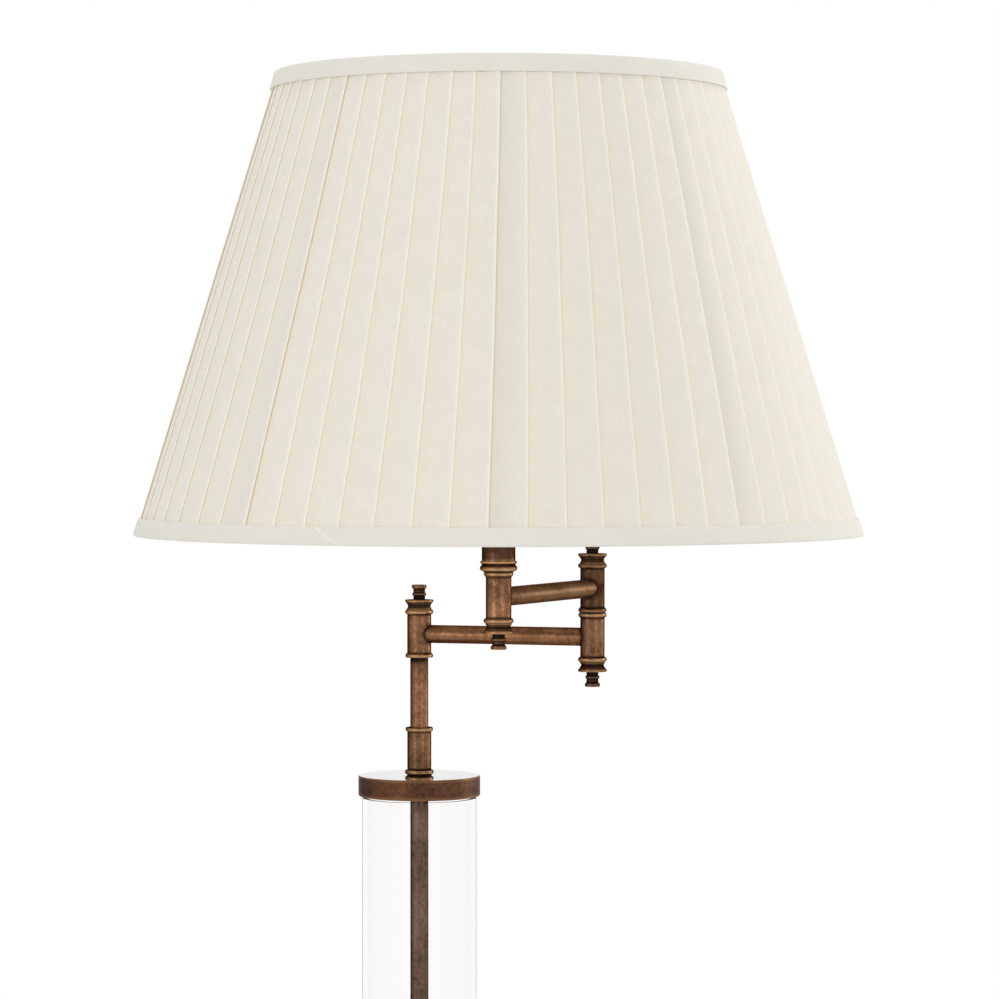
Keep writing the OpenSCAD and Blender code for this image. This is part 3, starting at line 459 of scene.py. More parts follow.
def outline_of(node, axis, side=BACK):
    """Radius and height of a turned node's outer skin, seen from one side."""
    mesh = nodes[node].data
    solid = BVHTree.FromPolygons([v.co for v in mesh.vertices],
                                 [p.vertices for p in mesh.polygons])
    hair = 0.01 * MM

    def radius_at(z):
        start = axis + side + UP * z
        hit = solid.ray_cast(start, -side)[0]
        return (flat(hit) - flat(axis)).length if hit else 0.0

    levels = sorted({round(v.co.z, 5) for v in mesh.vertices})
    points = [(radius_at(levels[0] + hair), levels[0])]
    for level in levels[1:-1]:
        below = radius_at(level - hair)
        above = radius_at(level + hair)
        points.append((below, level))
        if abs(above - below) > 3 * hair:
            points.append((above, level))
    points.append((radius_at(levels[-1] - hair), levels[-1]))
    return points


def divided(outline, step):
    """An outline with points no further apart than a step."""
    points = [outline[0]]
    for start, end in zip(outline, outline[1:]):
        parts = max(1, math.ceil(math.dist(start, end) / step))
        points += [(start[0] + (end[0] - start[0]) * i / parts,
                    start[1] + (end[1] - start[1]) * i / parts) for i in range(1, parts + 1)]
    return points


# %% Spin an outline
SMOOTH_ANGLE = math.radians(32)
WELD = 0.002 * MM


def turned(name, outline, axis, steps=96):
    """Extrudes a vertex along an outline and spins it round an upright axis."""
    first = outline[0]
    bpy.ops.object.select_all(action="DESELECT")
    bpy.ops.mesh.primitive_plane_add(size=MM, location=axis + Vector((first[0], 0, first[1])))
    piece = bpy.context.object
    piece.name = name
    bpy.ops.object.mode_set(mode="EDIT")
    bpy.ops.mesh.merge(type="CENTER")
    for start, end in zip(outline, outline[1:]):
        step = (end[0] - start[0], 0, end[1] - start[1])
        bpy.ops.mesh.extrude_vertices_move(TRANSFORM_OT_translate={"value": step})
    bpy.ops.mesh.select_all(action="SELECT")
    bpy.ops.mesh.spin(steps=steps, angle=math.tau, center=axis, axis=UP)
    bpy.ops.mesh.select_all(action="SELECT")
    bpy.ops.mesh.remove_doubles(threshold=WELD)
    bpy.ops.mesh.normals_make_consistent(inside=False)
    bpy.ops.object.mode_set(mode="OBJECT")
    bpy.ops.object.transform_apply(location=True, rotation=False, scale=False)
    bpy.ops.object.shade_smooth_by_angle(angle=SMOOTH_ANGLE)
    return piece


def thicken(piece, thickness, offset):
    """Gives the active piece a wall with Solidify."""
    bpy.ops.object.modifier_add(type="SOLIDIFY")
    piece.modifiers["Solidify"].thickness = thickness
    piece.modifiers["Solidify"].offset = offset
    bpy.ops.object.modifier_apply(modifier="Solidify")


def dress(piece, material, body, slot, *stands_for):
    """Gives a finished piece its material, its body and the nodes it stands for; the slot is not
    used.
    """
    piece.data.materials.clear()
    piece.data.materials.append(material)
    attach(piece, body)
    if stands_for:
        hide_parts(*stands_for)
    print(piece.name, len(piece.data.polygons), "faces")


# %% [markdown]
# ## Where the finish is rubbed and where it is dark
#
# A hand that polishes a turned part reaches its beads and rims and misses its hollows, so wax
# stays there, and shade falls there too, which is painted in with it. So a point's mask
# follows from how far it stands out from the mean radius near it, and flat tops keep the
# ground tone. The same idea darkens the skin round a soldered joint and under a ring: the
# closer to the joint, the more wax and painted shade.

# %% Store wear, wax and painted shade on a piece's points
def points_of(piece):
    """A piece's points as rows of x, y and z."""
    co = np.empty(len(piece.data.vertices) * 3)
    piece.data.vertices.foreach_get("co", co)
    return co.reshape(-1, 3)


def reach_of(points, axis):
    """How far points are from an upright axis."""
    return np.hypot(points[:, 0] - axis.x, points[:, 1] - axis.y)


def store(piece, name, values):
    """Stores one value per point."""
    layer = piece.data.attributes.new(name, "FLOAT", "POINT")
    layer.data.foreach_set("value", np.clip(values, 0, 1).astype(np.float32))


def joint_shadow(points, start, end, radius, reach):
    """1 on a cylinder's skin between two places, fading to 0 over a distance from it."""
    origin, run = np.array(start), np.array((end - start).normalized())
    along = (points - origin) @ run
    nearest = origin + np.outer(along, run)
    off = np.linalg.norm(points - nearest, axis=1) - radius
    return np.exp(-np.clip(off, 0, None) / reach) * (along > 0)


def relief_of(radii, heights, window):
    """How far each point of an outline stands out from the mean radius around it."""
    lengths = np.abs(np.diff(heights, prepend=heights[0])) + 0.02 * MM
    relief = np.zeros(len(radii))
    for i, (radius, height) in enumerate(zip(radii, heights)):
        weight = lengths * np.exp(-((heights - height) / window) ** 2)
        mean = (radii * weight).sum() / weight.sum()
        relief[i] = radius - mean if radius > 0.6 * mean else 0.0
    return relief


def weather_and_shade(piece, outline, axis, window=1.6 * MM, deepest=0.7 * MM, rubbing=0.9, wax=2.2,
            meets=(), seam=0.6 * MM, extra=None):
    """Wear on what stands out of a turned outline, dark wax and painted shade in its hollows and
    at its joints.
    """
    radii, heights = (np.array(column) for column in zip(*outline))
    broad = relief_of(radii, heights, window) / deepest
    fine = relief_of(radii, heights, window / 3) / (deepest / 2.2)
    points = points_of(piece)
    reach = reach_of(points, axis)
    near = np.argmin((reach[:, None] - radii) ** 2 + (points[:, 2, None] - heights) ** 2, axis=1)
    rise = np.gradient(heights)
    steep = np.clip(2 * np.abs(rise) / np.hypot(np.gradient(radii), rise), 0, 1)
    wear = rubbing * (steep * np.maximum(1.3 * (broad - 0.3), 0.9 * (fine - 0.35)))[near]
    # Darker in hollows and near the heights where the piece meets another: dark wax and painted
    # shade.
    wax_and_shade = wax * (steep * np.maximum(-broad - 0.12, -fine - 0.15))[near]
    for height in meets:
        wax_and_shade = np.maximum(wax_and_shade, 1.4 * np.exp(-np.abs(points[:, 2] - height) / seam))
    if extra is not None:
        wax_and_shade = np.maximum(wax_and_shade, extra(points))
    store(piece, "wear", wear)
    store(piece, "wax_and_shade", wax_and_shade)


def turn_like(node, name, axis, material, body, slot, step=0.8 * MM, steps=96, side=BACK,
              joined="", **finish_work):
    """Spins a finished skin over a turned CAD node. Its low or high end may be joined."""
    outline = outline_of(node, axis, side)
    ends = {"low": outline[0][1], "high": outline[-1][1]}
    outline = divided([(0, ends["low"]), *outline, (0, ends["high"])], step)
    piece = turned(name, outline, axis, steps)
    weather_and_shade(piece, outline, axis, meets=[ends[end] for end in joined.split()], **finish_work)
    dress(piece, material, body, slot, node)


# %% [markdown]
# ## Base, plates and post
#
# The spun cover of the base, the two plates that hold the glass, and the collar and neck
# above them all turn about the column's axis. The cover is an open shell, so it gets a wall
# with Solidify; the rest are solid to the eye.

# %% Base cover
COVER_WALL = 2 * MM
ROD_HOLE_R = 6 * MM

cover_outline = outline_of("base_cover", column_axis, Vector((1, 0, 0)))
cover_outline = divided(cover_outline + [(ROD_HOLE_R, cover_outline[-1][1])], 5 * MM)
base_shell = turned("base_shell", cover_outline, column_axis, steps=192)
weather_and_shade(base_shell, cover_outline, column_axis, window=6 * MM, deepest=6 * MM, rubbing=0.6)
thicken(base_shell, COVER_WALL, -1)
dress(base_shell, bronze_base, "root", "bronze", "base_cover")

# %% Plates, collar and neck
turn_like("lower_plate", "lower_clamp_plate", column_axis, bronze_base, "root",
          "bronze_plate", step=1.5 * MM, steps=160, rubbing=0.08, wax=0.3)
turn_like("upper_plate", "upper_clamp_plate", column_axis, bronze_plate, "root",
          "bronze_plate", step=1.5 * MM, steps=160, rubbing=0.08, wax=0.3)
turn_like("post_collar", "turned_collar", column_axis, bronze_collar, "root", "bronze",
          joined="low high")
# The neck is darkened over 3 mm at both ends: painted shade where it meets the collar, painted
# shadow under the knuckle's ring, and some wax.
turn_like("neck_tube", "neck", column_axis, bronze_upright, "root", "bronze", rubbing=0.0,
          joined="low high", seam=3 * MM)

# %% [markdown]
# ## Knuckles and finial caps
#
# Each end of each arm has the same knuckle: a barrel with a flat ring at its pivot face and a
# half-round bead at its open end, closed by a cap with a cove, a flange and a little finial.
# The same turning gives all of them. The skin is darker where the arm's tube meets the barrel:
# wax and painted shade.

# %% Knuckles
TUBE_R = (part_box("neck_tube")[1].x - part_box("neck_tube")[0].x) / 2
BARREL_R = min(radius for radius, height in outline_of("column_knuckle", column_axis)
               if radius > 0)
arm_ends = {
    "lower": (Vector((0, 0, lower_arm_z)), elbow_axis + UP * lower_arm_z),
    "upper": (elbow_axis + UP * upper_arm_z, riser_axis + UP * upper_arm_z),
}
knuckle_plan = [
    ("column_knuckle", "column_barrel", bronze_upright, "lower", False),
    ("elbow_lower_knuckle", "elbow_lower_barrel", bronze_elbow_shaded, "lower", True),
    ("elbow_upper_knuckle", "elbow_upper_barrel", bronze_dark, "upper", False),
    ("socket_knuckle", "socket_barrel", bronze_upright, "upper", True),
]
for node, name, material, arm, at_far_end in knuckle_plan:
    ends = arm_ends[arm][::-1] if at_far_end else arm_ends[arm]
    away = (ends[0] - ends[1]).normalized()

    def near_tube(points, start=ends[0], end=ends[1]):
        return joint_shadow(points, start, end, TUBE_R, 1.1 * MM)

    turn_like(node, name, flat(ends[0]), material, arm + "_arm", "bronze", side=away,
              joined="low high", seam=0.35 * MM, extra=near_tube)

# %% Finial caps
for node, name, axis, material, body, joined in (
        ("column_finial", "column_cap", column_axis, bronze_dark, "lower_arm", "low"),
        ("elbow_lower_finial", "elbow_lower_cap", elbow_axis, bronze_cap_shaded, "lower_arm", "high"),
        ("elbow_upper_finial", "elbow_upper_cap", elbow_axis, bronze_cap_shaded, "upper_arm", "low"),
        ("socket_finial", "socket_cap", riser_axis, bronze_dark, "upper_arm", "high")):
    turn_like(node, name, axis, material, body, "bronze", step=0.5 * MM, steps=80,
              rubbing=0.9, wax=3.6, joined=joined, seam=3 * MM)

# %% Riser collar and sleeve
turn_like("riser_collar", "turned_riser_collar", riser_axis, bronze_elbow_shaded, "upper_arm",
          "bronze", joined="low high")
turn_like("riser_sleeve", "dark_sleeve", riser_axis, bronze_sleeve, "upper_arm",
          "bronze_dark", step=2 * MM, rubbing=0.3)
turn_like("holder_cap", "lampholder_cap", riser_axis, bronze_upright, "upper_arm", "bronze")

# %% [markdown]
# ## Arm tubes
#
# An arm is a round tube that is cut to a saddle at each end, so that it sits on the barrels
# without a gap. A cylinder is laid between the two axes, its long edges are subdivided so
# that it can hold the dark zone of wax and painted shade near each joint, and a barrel-sized
# cutter takes the saddle out of each end with a Boolean.

# %% Cut the tubes to their saddles
SADDLE_GAP = 0.12 * MM
CUTTER_REACH = 30 * MM
RING_STEP = 1.2 * MM


def round_bar(name, start, end, radius):
    """A cylinder from one place to another."""
    run = end - start
    bpy.ops.object.select_all(action="DESELECT")
    bpy.ops.mesh.primitive_cylinder_add(
        vertices=96, radius=radius, depth=run.length, location=(start + end) / 2,
        rotation=run.to_track_quat("Z", "Y").to_euler())
    bar = bpy.context.object
    bar.name = name
    bpy.ops.object.transform_apply(location=True, rotation=True, scale=True)
    return bar


def cut_away(piece, cutter):
    """Takes one shape out of another and removes the cutter."""
    bpy.ops.object.select_all(action="DESELECT")
    bpy.context.view_layer.objects.active = piece
    piece.select_set(True)
    bpy.ops.object.modifier_add(type="BOOLEAN")
    cut = piece.modifiers[-1]
    cut.operation = "DIFFERENCE"
    cut.solver = "EXACT"
    cut.object = cutter
    bpy.ops.object.modifier_apply(modifier=cut.name)
    bpy.data.objects.remove(cutter)


def arm_tube(name, start, end):
    """A tube between two barrels, with a saddle at each end."""
    piece = round_bar(name, start, end, TUBE_R)
    for edge in piece.data.edges:
        a, b = (piece.data.vertices[i].co for i in edge.vertices)
        edge.select = (b - a).length > 4 * TUBE_R
    for item in (*piece.data.vertices, *piece.data.polygons):
        item.select = False
    bpy.context.tool_settings.mesh_select_mode = (False, True, False)
    bpy.ops.object.mode_set(mode="EDIT")
    bpy.ops.mesh.subdivide(number_cuts=int((end - start).length / RING_STEP))
    bpy.ops.object.mode_set(mode="OBJECT")
    bpy.context.tool_settings.mesh_select_mode = (True, False, False)
    for axis in (start, end):
        cutter = round_bar("cutter", axis - UP * CUTTER_REACH, axis + UP * CUTTER_REACH,
                           BARREL_R + SADDLE_GAP)
        cut_away(piece, cutter)
    bpy.ops.object.shade_smooth_by_angle(angle=SMOOTH_ANGLE)
    # Near each barrel the tube is darkened: wax and painted shade.
    points = points_of(piece)
    to_barrel = np.minimum(reach_of(points, start), reach_of(points, end)) - BARREL_R
    store(piece, "wax_and_shade", 1.1 * np.exp(-np.clip(to_barrel, 0, None) / MM))
    store(piece, "wear", np.zeros(len(points)))
    return piece


for arm, material in (("lower", bronze_lower_arm_lit), ("upper", bronze_upper_arm_lit)):
    tube = arm_tube(arm + "_arm", *arm_ends[arm])
    dress(tube, material, arm + "_arm", "bronze", arm + "_arm_tube")

# %% [markdown]
# ## Glass tube
#
# The column is a borosilicate tube with cut and fire-polished ends. Both walls matter for how
# it bends light, so its section is a closed rectangle with softened corners, spun finely. In
# the photograph the tube hardly bends what stands behind it, so its index is kept low, and a
# faint painted grey where it is seen edge-on, painted shade for the darker reflections at its
# edges, draws its outline.

# %% Round off the corners of a drawn outline
ARC_STEPS = 4


def rounded(corners, closed=False):
    """Points of an outline whose corners, given as radius, height and rounding, are arcs."""
    count = len(corners)
    points = []
    for i, (radius, height, bend) in enumerate(corners):
        here = Vector((radius, height))
        if bend == 0 or (not closed and i in (0, count - 1)):
            points.append(tuple(here))
            continue
        before = Vector(corners[i - 1][:2]) - here
        after = Vector(corners[(i + 1) % count][:2]) - here
        half = before.angle(after) / 2
        cut = min(bend / math.tan(half), before.length / 2, after.length / 2)
        centre = here + (before.normalized() + after.normalized()).normalized() \
            * cut / math.cos(half)
        first = here + before.normalized() * cut - centre
        last = here + after.normalized() * cut - centre
        swing = first.angle_signed(last)
        for k in range(ARC_STEPS + 1):
            turn = -swing * k / ARC_STEPS
            points.append((centre.x + first.x * math.cos(turn) - first.y * math.sin(turn),
                           centre.y + first.x * math.sin(turn) + first.y * math.cos(turn)))
    return points + points[:1] if closed else points


# %% Spin the glass tube
POLISH = 0.5 * MM

glass_lo, glass_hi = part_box("glass_tube")
glass_reach = reach_of(points_of(nodes["glass_tube"]), column_axis)
bore_r, outer_r = glass_reach.min(), glass_reach.max()
glass_section = rounded([(bore_r, glass_lo.z, POLISH), (outer_r, glass_lo.z, POLISH),
                         (outer_r, glass_hi.z, POLISH), (bore_r, glass_hi.z, POLISH)],
                        closed=True)
glass_column = turned("glass_column", glass_section, column_axis, steps=192)

clear_glass, tree, shader, _ = material_start("clear_glass")
edge_on_painted_shade = tree.node("LayerWeight", {"Blend": 0.12}).outputs["Facing"]
# Base Color turns grey where the tube is seen edge-on: painted shade for the darker reflections
# at its edges.
tree.fill(shader, {
    "Base Color": tree.mix(edge_on_painted_shade, screen_colour(253.5, 253, 252.5),
                           screen_colour(238, 237, 232)),
    "Roughness": 0.0, "IOR": 1.025, "Transmission Weight": 1.0,
})
dress(glass_column, clear_glass, "root", "glass", "glass_tube")

# %% [markdown]
# ## Pleated cover
#
# The cover is nine panels of cloth, each pressed into seven knife pleats, joined where a
# fold hides the join, and glued at both rims. Each pleat's face comes out from under the fold
# before it, runs up to its own fold, turns back under itself and turns again. The strip is as
# wide at the top as at the bottom, so the hidden underlap grows as the visible pitch shrinks.
# Cloth pressed into exact folds is easier to compute than to simulate: the section is laid
# out point by point, once per row. Small waves, different for each fold, keep the pressed
# edges from looking ruled.

# %% Measure the shade's cone
def rim_radius(node, z):
    """Reach of a CAD node's points from the riser's axis at a height."""
    points = points_of(nodes[node])
    level = np.abs(points[:, 2] - z) < 0.6 * MM
    return reach_of(points[level], riser_axis).max()


cover_low, cover_high = (corner.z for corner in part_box("shade_cover"))
low_radius = rim_radius("shade_cover", cover_low)
high_radius = rim_radius("shade_cover", cover_high)
cone_slope = (low_radius - high_radius) / (cover_high - cover_low)


def cone_radius(z):
    """Radius of the cover's fold edges at a height."""
    return low_radius - (z - cover_low) * cone_slope


print("cone:", round(low_radius, 4), "to", round(high_radius, 4))

# %% Fold the cloth
PANEL_PLEATS = 7
PANELS = 9
FIRST_JOIN = math.radians(-90.3)
SKEW = math.radians(1.0)
LEAN = math.radians(2.6)
LEANING_PLEATS = 18
UNDERLAP = 8 * MM
CLOTH = 0.22 * MM
STEP = 0.66 * MM
ROWS = 26
JOIN_LIFT = 0.3 * MM
LAPPED_BACK = 8
FOLD_SMOOTH = math.radians(50)

PLEATS = PANEL_PLEATS * PANELS
pleat_angle = math.tau / PLEATS
strip = cone_radius(cover_low) * pleat_angle + 2 * UNDERLAP
random.seed(7)
fold_place = [random.gauss(0, 0.35) * MM for _ in range(PLEATS)]
fold_waves = [[(random.uniform(0.08, 0.24) * MM, random.uniform(0, math.tau), waves)
               for waves in (0.7, 1.6, 3.1)] for _ in range(PLEATS)]
pleat_tone = [random.random() for _ in range(PLEATS)]


def fold_shift(k, rise):
    """How far a fold's edge strays sideways at a share of the height."""
    hold = math.sin(math.pi * rise) ** 0.5
    return fold_place[k % PLEATS] + hold * sum(
        size / waves * math.sin(math.tau * waves * rise + phase)
        for size, phase, waves in fold_waves[k % PLEATS])


def pleat_section(pitch, lap, belly):
    """Along, depth, painted crease shade share and painted fold-edge highlight share of one
    pleat's cloth, from fold to fold.
    """
    top = -0.14 * MM

    def face(x):
        return top - STEP * (1 - x / pitch)

    def under(x):
        return face(x) - 0.6 * STEP

    bulge = 0.18 * MM
    return [
        (-lap, face(-lap), 1.0, 0.0),
        (-0.5 * lap, face(-0.5 * lap), 1.0, 0.0),
        (-0.2 * MM, face(0), 1.0, 0.0),
        (0.5 * MM, face(0), 0.6, 0.0),
        (1.2 * MM, face(1.2 * MM), 0.3, 0.0),
        (0.12 * pitch, face(0.12 * pitch), 0.17, 0.0),
        (0.22 * pitch, face(0.22 * pitch) + 0.6 * belly, 0.1, 0.0),
        (0.42 * pitch, face(0.42 * pitch) + belly, 0.03, 0.0),
        (0.7 * pitch, face(0.7 * pitch) + belly, 0.0, 0.0),
        # The last points before the fold carry the painted highlight on the fold's edge.
        (pitch - 2.4 * MM, face(pitch - 2.4 * MM) + 0.05 * MM, 0.0, 0.05),
        (pitch - 1.2 * MM, top, 0.0, 0.3),
        (pitch - 0.6 * MM, top - 0.02 * MM, 0.0, 1.0),
        (pitch - 0.05 * MM, top - 0.08 * MM, 0.0, 1.0),
        (pitch + bulge, top - 0.3 * STEP, 0.0, 0.3),
        (pitch - 0.02 * MM, under(pitch) + 0.04 * MM, 0.2, 0.0),
        (pitch - 0.35 * MM, under(pitch - 0.35 * MM), 0.5, 0.0),
        (pitch - 0.5 * lap, under(pitch - 0.5 * lap), 1.0, 0.0),
        (pitch - lap, under(pitch - lap), 1.0, 0.0),
        (pitch - lap - bulge, under(pitch - lap) - 0.2 * STEP, 1.0, 0.0),
    ]


def cover_row(rise):
    """One round of the cover's points with their painted crease shade and fold-edge highlight
    shares and cloth places.
    """
    z = cover_low + rise * (cover_high - cover_low)
    radius = cone_radius(z)
    pitch = radius * pleat_angle
    lap = (strip - pitch) / 2
    belly = 0.22 * MM * math.sin(math.pi * rise)
    row = []
    for k in range(PLEATS):
        lift = JOIN_LIFT if (k + 1) % PANEL_PLEATS == 0 else 0.0
        walked = k * strip
        last = None
        for along, depth, crease_shade, edge in pleat_section(pitch, lap, belly):
            share = min(max(along / pitch, 0), 1)
            shift = fold_shift(k, rise) * share + fold_shift(k - 1, rise) * (1 - share)
            leaning = math.sin(math.pi * min(k + share, LEANING_PLEATS) / LEANING_PLEATS)
            angle = FIRST_JOIN + SKEW * (2 * rise - 1) + LEAN * rise * leaning \
                + k * pleat_angle + (along + shift) / radius
            out = radius + depth - JOIN_LIFT + lift * share ** 2
            point = (riser_axis.x + out * math.cos(angle),
                     riser_axis.y + out * math.sin(angle), z)
            if last is not None:
                walked += math.dist(last, (along, depth))
            last = (along, depth)
            row.append((point, crease_shade, walked, along / pitch, k, edge))
    return row


rows = [cover_row(i / ROWS) for i in range(ROWS + 1)]
around = len(rows[0])
places, crease_shades, walks, shares, pleats, edges = zip(*(entry for row in rows for entry in row))
slant = (cover_high - cover_low) * math.hypot(1, cone_slope)
cover_mesh = bpy.data.meshes.new("pleated_cover")
cover_mesh.from_pydata(
    places, [],
    [(i * around + j, i * around + (j + 1) % around,
      (i + 1) * around + (j + 1) % around, (i + 1) * around + j)
     for i in range(ROWS) for j in range(around)])
pleated_cover = bpy.data.objects.new("pleated_cover", cover_mesh)
bpy.context.scene.collection.objects.link(pleated_cover)
print("cover:", around, "points round,", ROWS + 1, "rows, strip", round(strip / MM, 1), "mm")

# %% Store the cloth's own coordinates, its painted crease shade, fold-edge highlight and doubled-cloth shade, and its tones
def store_cloth(piece, place_of_loop):
    """A UV map in metres of cloth: across the strip, then up it."""
    layer = piece.data.uv_layers.new(name="cloth")
    layer.data.foreach_set("uv", np.array(place_of_loop, np.float32).ravel())


seam_width = PLEATS * strip
cloth_places = []
for face in cover_mesh.polygons:
    for corner, vertex in enumerate(face.vertices):
        across = walks[vertex]
        if corner in (1, 2) and vertex % around == 0:
            across = seam_width
        cloth_places.append((across, slant * (vertex // around) / ROWS))
store_cloth(pleated_cover, cloth_places)
store(pleated_cover, "crease_shade", crease_shades)
store(pleated_cover, "edge", edges)
store(pleated_cover, "tone", [pleat_tone[k] for k in pleats])


def join_shade(k, share):
    """How much painted shade greys the cloth that lies double beside a join, at a place across
    its pleat.
    """
    if k == LAPPED_BACK * PANEL_PLEATS - 1:
        return 0.6 * min(1.0, max(0.0, 0.3 + share))
    if k % PANEL_PLEATS == 0 and k != LAPPED_BACK * PANEL_PLEATS:
        return math.exp(-(max(share, 0.0) / 0.55) ** 2)
    return 0.0


store(pleated_cover, "doubled", list(map(join_shade, pleats, shares)))
store(pleated_cover, "join", [k % PANEL_PLEATS == 0 for k in pleats])

bpy.ops.object.select_all(action="DESELECT")
pleated_cover.select_set(True)
bpy.context.view_layer.objects.active = pleated_cover
bpy.ops.object.mode_set(mode="EDIT")
bpy.ops.mesh.select_all(action="SELECT")
bpy.ops.mesh.normals_make_consistent(inside=False)
bpy.ops.object.mode_set(mode="OBJECT")
thicken(pleated_cover, CLOTH, 0)
bpy.ops.object.shade_smooth_by_angle(angle=FOLD_SMOOTH)
print("cover with its thickness:", len(cover_mesh.polygons), "faces")

# %% [markdown]
# ## Cloth materials
#
# All the shade's cloth is the same off-white cotton: threads about 0.4 mm apart, seen only
# close up, and soft slubs that give the surface its life from further away. The cover is
# painted warmer and darker in its creases, as painted shade, and glows faintly there, an
# emission that is painted light for the light coming through the folds; its fold edges get a
# painted highlight, and it is painted greyer where it lies double beside a join, as painted
# shade. The lining is whiter and smoother, and the edge tapes are cut on the bias, so their
# threads run diagonally.

# %% Cloth
THREAD = 0.42 * MM


def cloth(name, colour, warm, thread=THREAD, turn=0.0, slub=0.6):
    """Woven cloth on a piece's own cloth coordinates, and its colour before any masks."""
    material, tree, shader, _ = material_start(name)
    laid = tree.node("UVMap", uv_map="cloth").outputs[0]
    threads = tree.node("Mapping", {"Vector": laid, "Rotation": (0, 0, turn),
                                    "Scale": (1 / thread, 1 / thread, 1)}).outputs[0]
    weave = tree.node("Group", {"Threads": threads, "Slub": slub},
                      node_tree=plain_weave).outputs
    tree.fill(shader, {"Roughness": 0.85, "Sheen Weight": 0.15, "Sheen Roughness": 0.4,
                       "Normal": bump(tree, weave["Height"], 0.05 * MM)})
    base = tree.mix(weave["Tone"], screen_colour(*warm), screen_colour(*colour))
    return material, tree, shader, base


cover_cloth, tree, shader, base = cloth("cover_cloth", (246, 241, 229), (232, 226, 212))
# Each mask mixes in a colour: tone is each pleat's own random tone, doubled is painted shade
# where the cloth lies double, edge is a painted highlight along the fold edges, and crease_shade
# is painted shade in the creases.
for mask, strength, colour in (
        ("tone", 0.35, (237, 233, 220)), ("doubled", 0.75, (227, 223, 212)),
        ("edge", 0.75, (251, 248, 238)), ("crease_shade", 1.0, (237, 222, 183))):
    base = tree.mix(tree.ramp(attribute(tree, mask), 0, 1, 0.0, strength),
                    base, screen_colour(*colour))
# The creases also get a faint painted glow: an emission that stands in for light coming through
# the folds, weaker at the joins.
painted_glow = tree.times(tree.maths("POWER", attribute(tree, "crease_shade"), 2.0),
                         tree.ramp(attribute(tree, "join"), 0, 1, 1.0, 0.55))
tree.fill(shader, {
    "Base Color": base, "Emission Strength": 1.0,
    "Emission Color": tree.mix(painted_glow, (0, 0, 0, 1), screen_colour(122, 111, 86)),
})
dress(pleated_cover, cover_cloth, "upper_arm", "shade_cloth", "shade_cover")

# %% Lining
LINING = 0.5 * MM


def wrap_cloth(piece, radius):
    """Cloth coordinates for a sheet turned about the riser: round the axis, then up."""
    points = points_of(piece)
    angles = np.arctan2(points[:, 1] - riser_axis.y, points[:, 0] - riser_axis.x)
    laid = []
    for face in piece.data.polygons:
        first = angles[face.vertices[0]]
        for vertex in face.vertices:
            turn = (angles[vertex] - first + math.pi) % math.tau - math.pi
            laid.append(((first + turn) * radius, points[vertex, 2]))
    store_cloth(piece, laid)


lining_lo, lining_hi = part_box("shade_lining")
lining_low_r = rim_radius("shade_lining", lining_lo.z)
lining_high_r = rim_radius("shade_lining", lining_hi.z)
lining_section = rounded([(lining_low_r, lining_lo.z, 0), (lining_high_r, lining_hi.z, 0),
                          (lining_high_r - LINING, lining_hi.z, 0),
                          (lining_low_r - LINING, lining_lo.z, 0)], closed=True)
lining = turned("lining", divided(lining_section, 12 * MM), riser_axis, steps=192)
wrap_cloth(lining, lining_low_r)
lining_cloth, tree, shader, base = cloth("lining_cloth", (250, 248, 243), (245, 242, 234),
                                         thread=0.3 * MM, slub=0.2)
tree.fill(shader, {"Base Color": base})
dress(lining, lining_cloth, "upper_arm", "shade_lining", "shade_lining")

# %% Edge tapes
BIAS = 1.6
TAPE_OUT = 1.4 * MM
TAPE_THICK = 0.95 * MM
TAPE_LIP = 1.5 * MM


def edge_tape(name, node, way, joined_at):
    """A bias tape folded over a rim of the shade, its ends lapped at an angle round the rim."""
    lo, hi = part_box(node)
    rim_z = lo.z if way == 1 else hi.z
    tall = hi.z - lo.z
    cone = cone_radius(rim_z) - JOIN_LIFT
    points = points_of(nodes[node])
    at_rim = np.abs(points[:, 2] - rim_z) < 1.6 * MM
    inner = reach_of(points[at_rim], riser_axis).min() - cone
    corners = [
        (TAPE_OUT - TAPE_LIP, tall, 0.2), (TAPE_OUT - 0.2 * MM, tall, 0.7),
        (TAPE_OUT, tall * 0.55, 20), (TAPE_OUT, 0, 1.2), (inner, 0, 1.1),
        (inner, tall * 0.8, 0.35), (inner + TAPE_THICK, tall * 0.8, 0.35),
        (inner + TAPE_THICK, TAPE_THICK, 0.5), (TAPE_OUT - TAPE_LIP, TAPE_THICK, 0.5),
    ]
    section = rounded([(cone - way * cone_slope * away + out, rim_z + way * away, bend * MM)
                       for out, away, bend in corners], closed=True)
    tape = turned(name, divided(section, 1.5 * MM), riser_axis, steps=240)
    wrap_cloth(tape, cone)
    tape_cloth, tree, shader, base = cloth(name + "_cloth", (240, 236, 227), (229, 225, 214),
                                           turn=math.radians(45), slub=0.5)
    laid = tree.node("SeparateXYZ", {0: tree.node("UVMap", uv_map="cloth").outputs[0]}).outputs
    past_lap = tree.minus(tree.plus(laid["X"], tree.times(laid["Y"], BIAS)),
                          joined_at * cone + BIAS * (lo.z + hi.z) / 2)
    # The tape's lap gets a thin lighter line, a painted highlight on its step, and the bump
    # below raises the step.
    lap_highlight = tree.ramp(tree.size_of(past_lap), 0, 1.2 * MM, 0.8, 0.0)
    tree.fill(shader, {"Base Color": tree.mix(lap_highlight, base, screen_colour(250, 247, 240))})
    relief = shader.inputs["Normal"].links[0].from_node
    woven = relief.inputs["Height"].links[0].from_socket
    lapped = tree.ramp(past_lap, -1 * MM, 1 * MM, 0.0, 4.0)
    tree.fill(relief, {"Height": tree.plus(woven, lapped)})
    dress(tape, tape_cloth, "upper_arm", "shade_tape", node)


edge_tape("lower_edge_tape", "bottom_tape", 1, math.radians(-115.7))
edge_tape("upper_edge_tape", "top_tape", -1, math.radians(62))

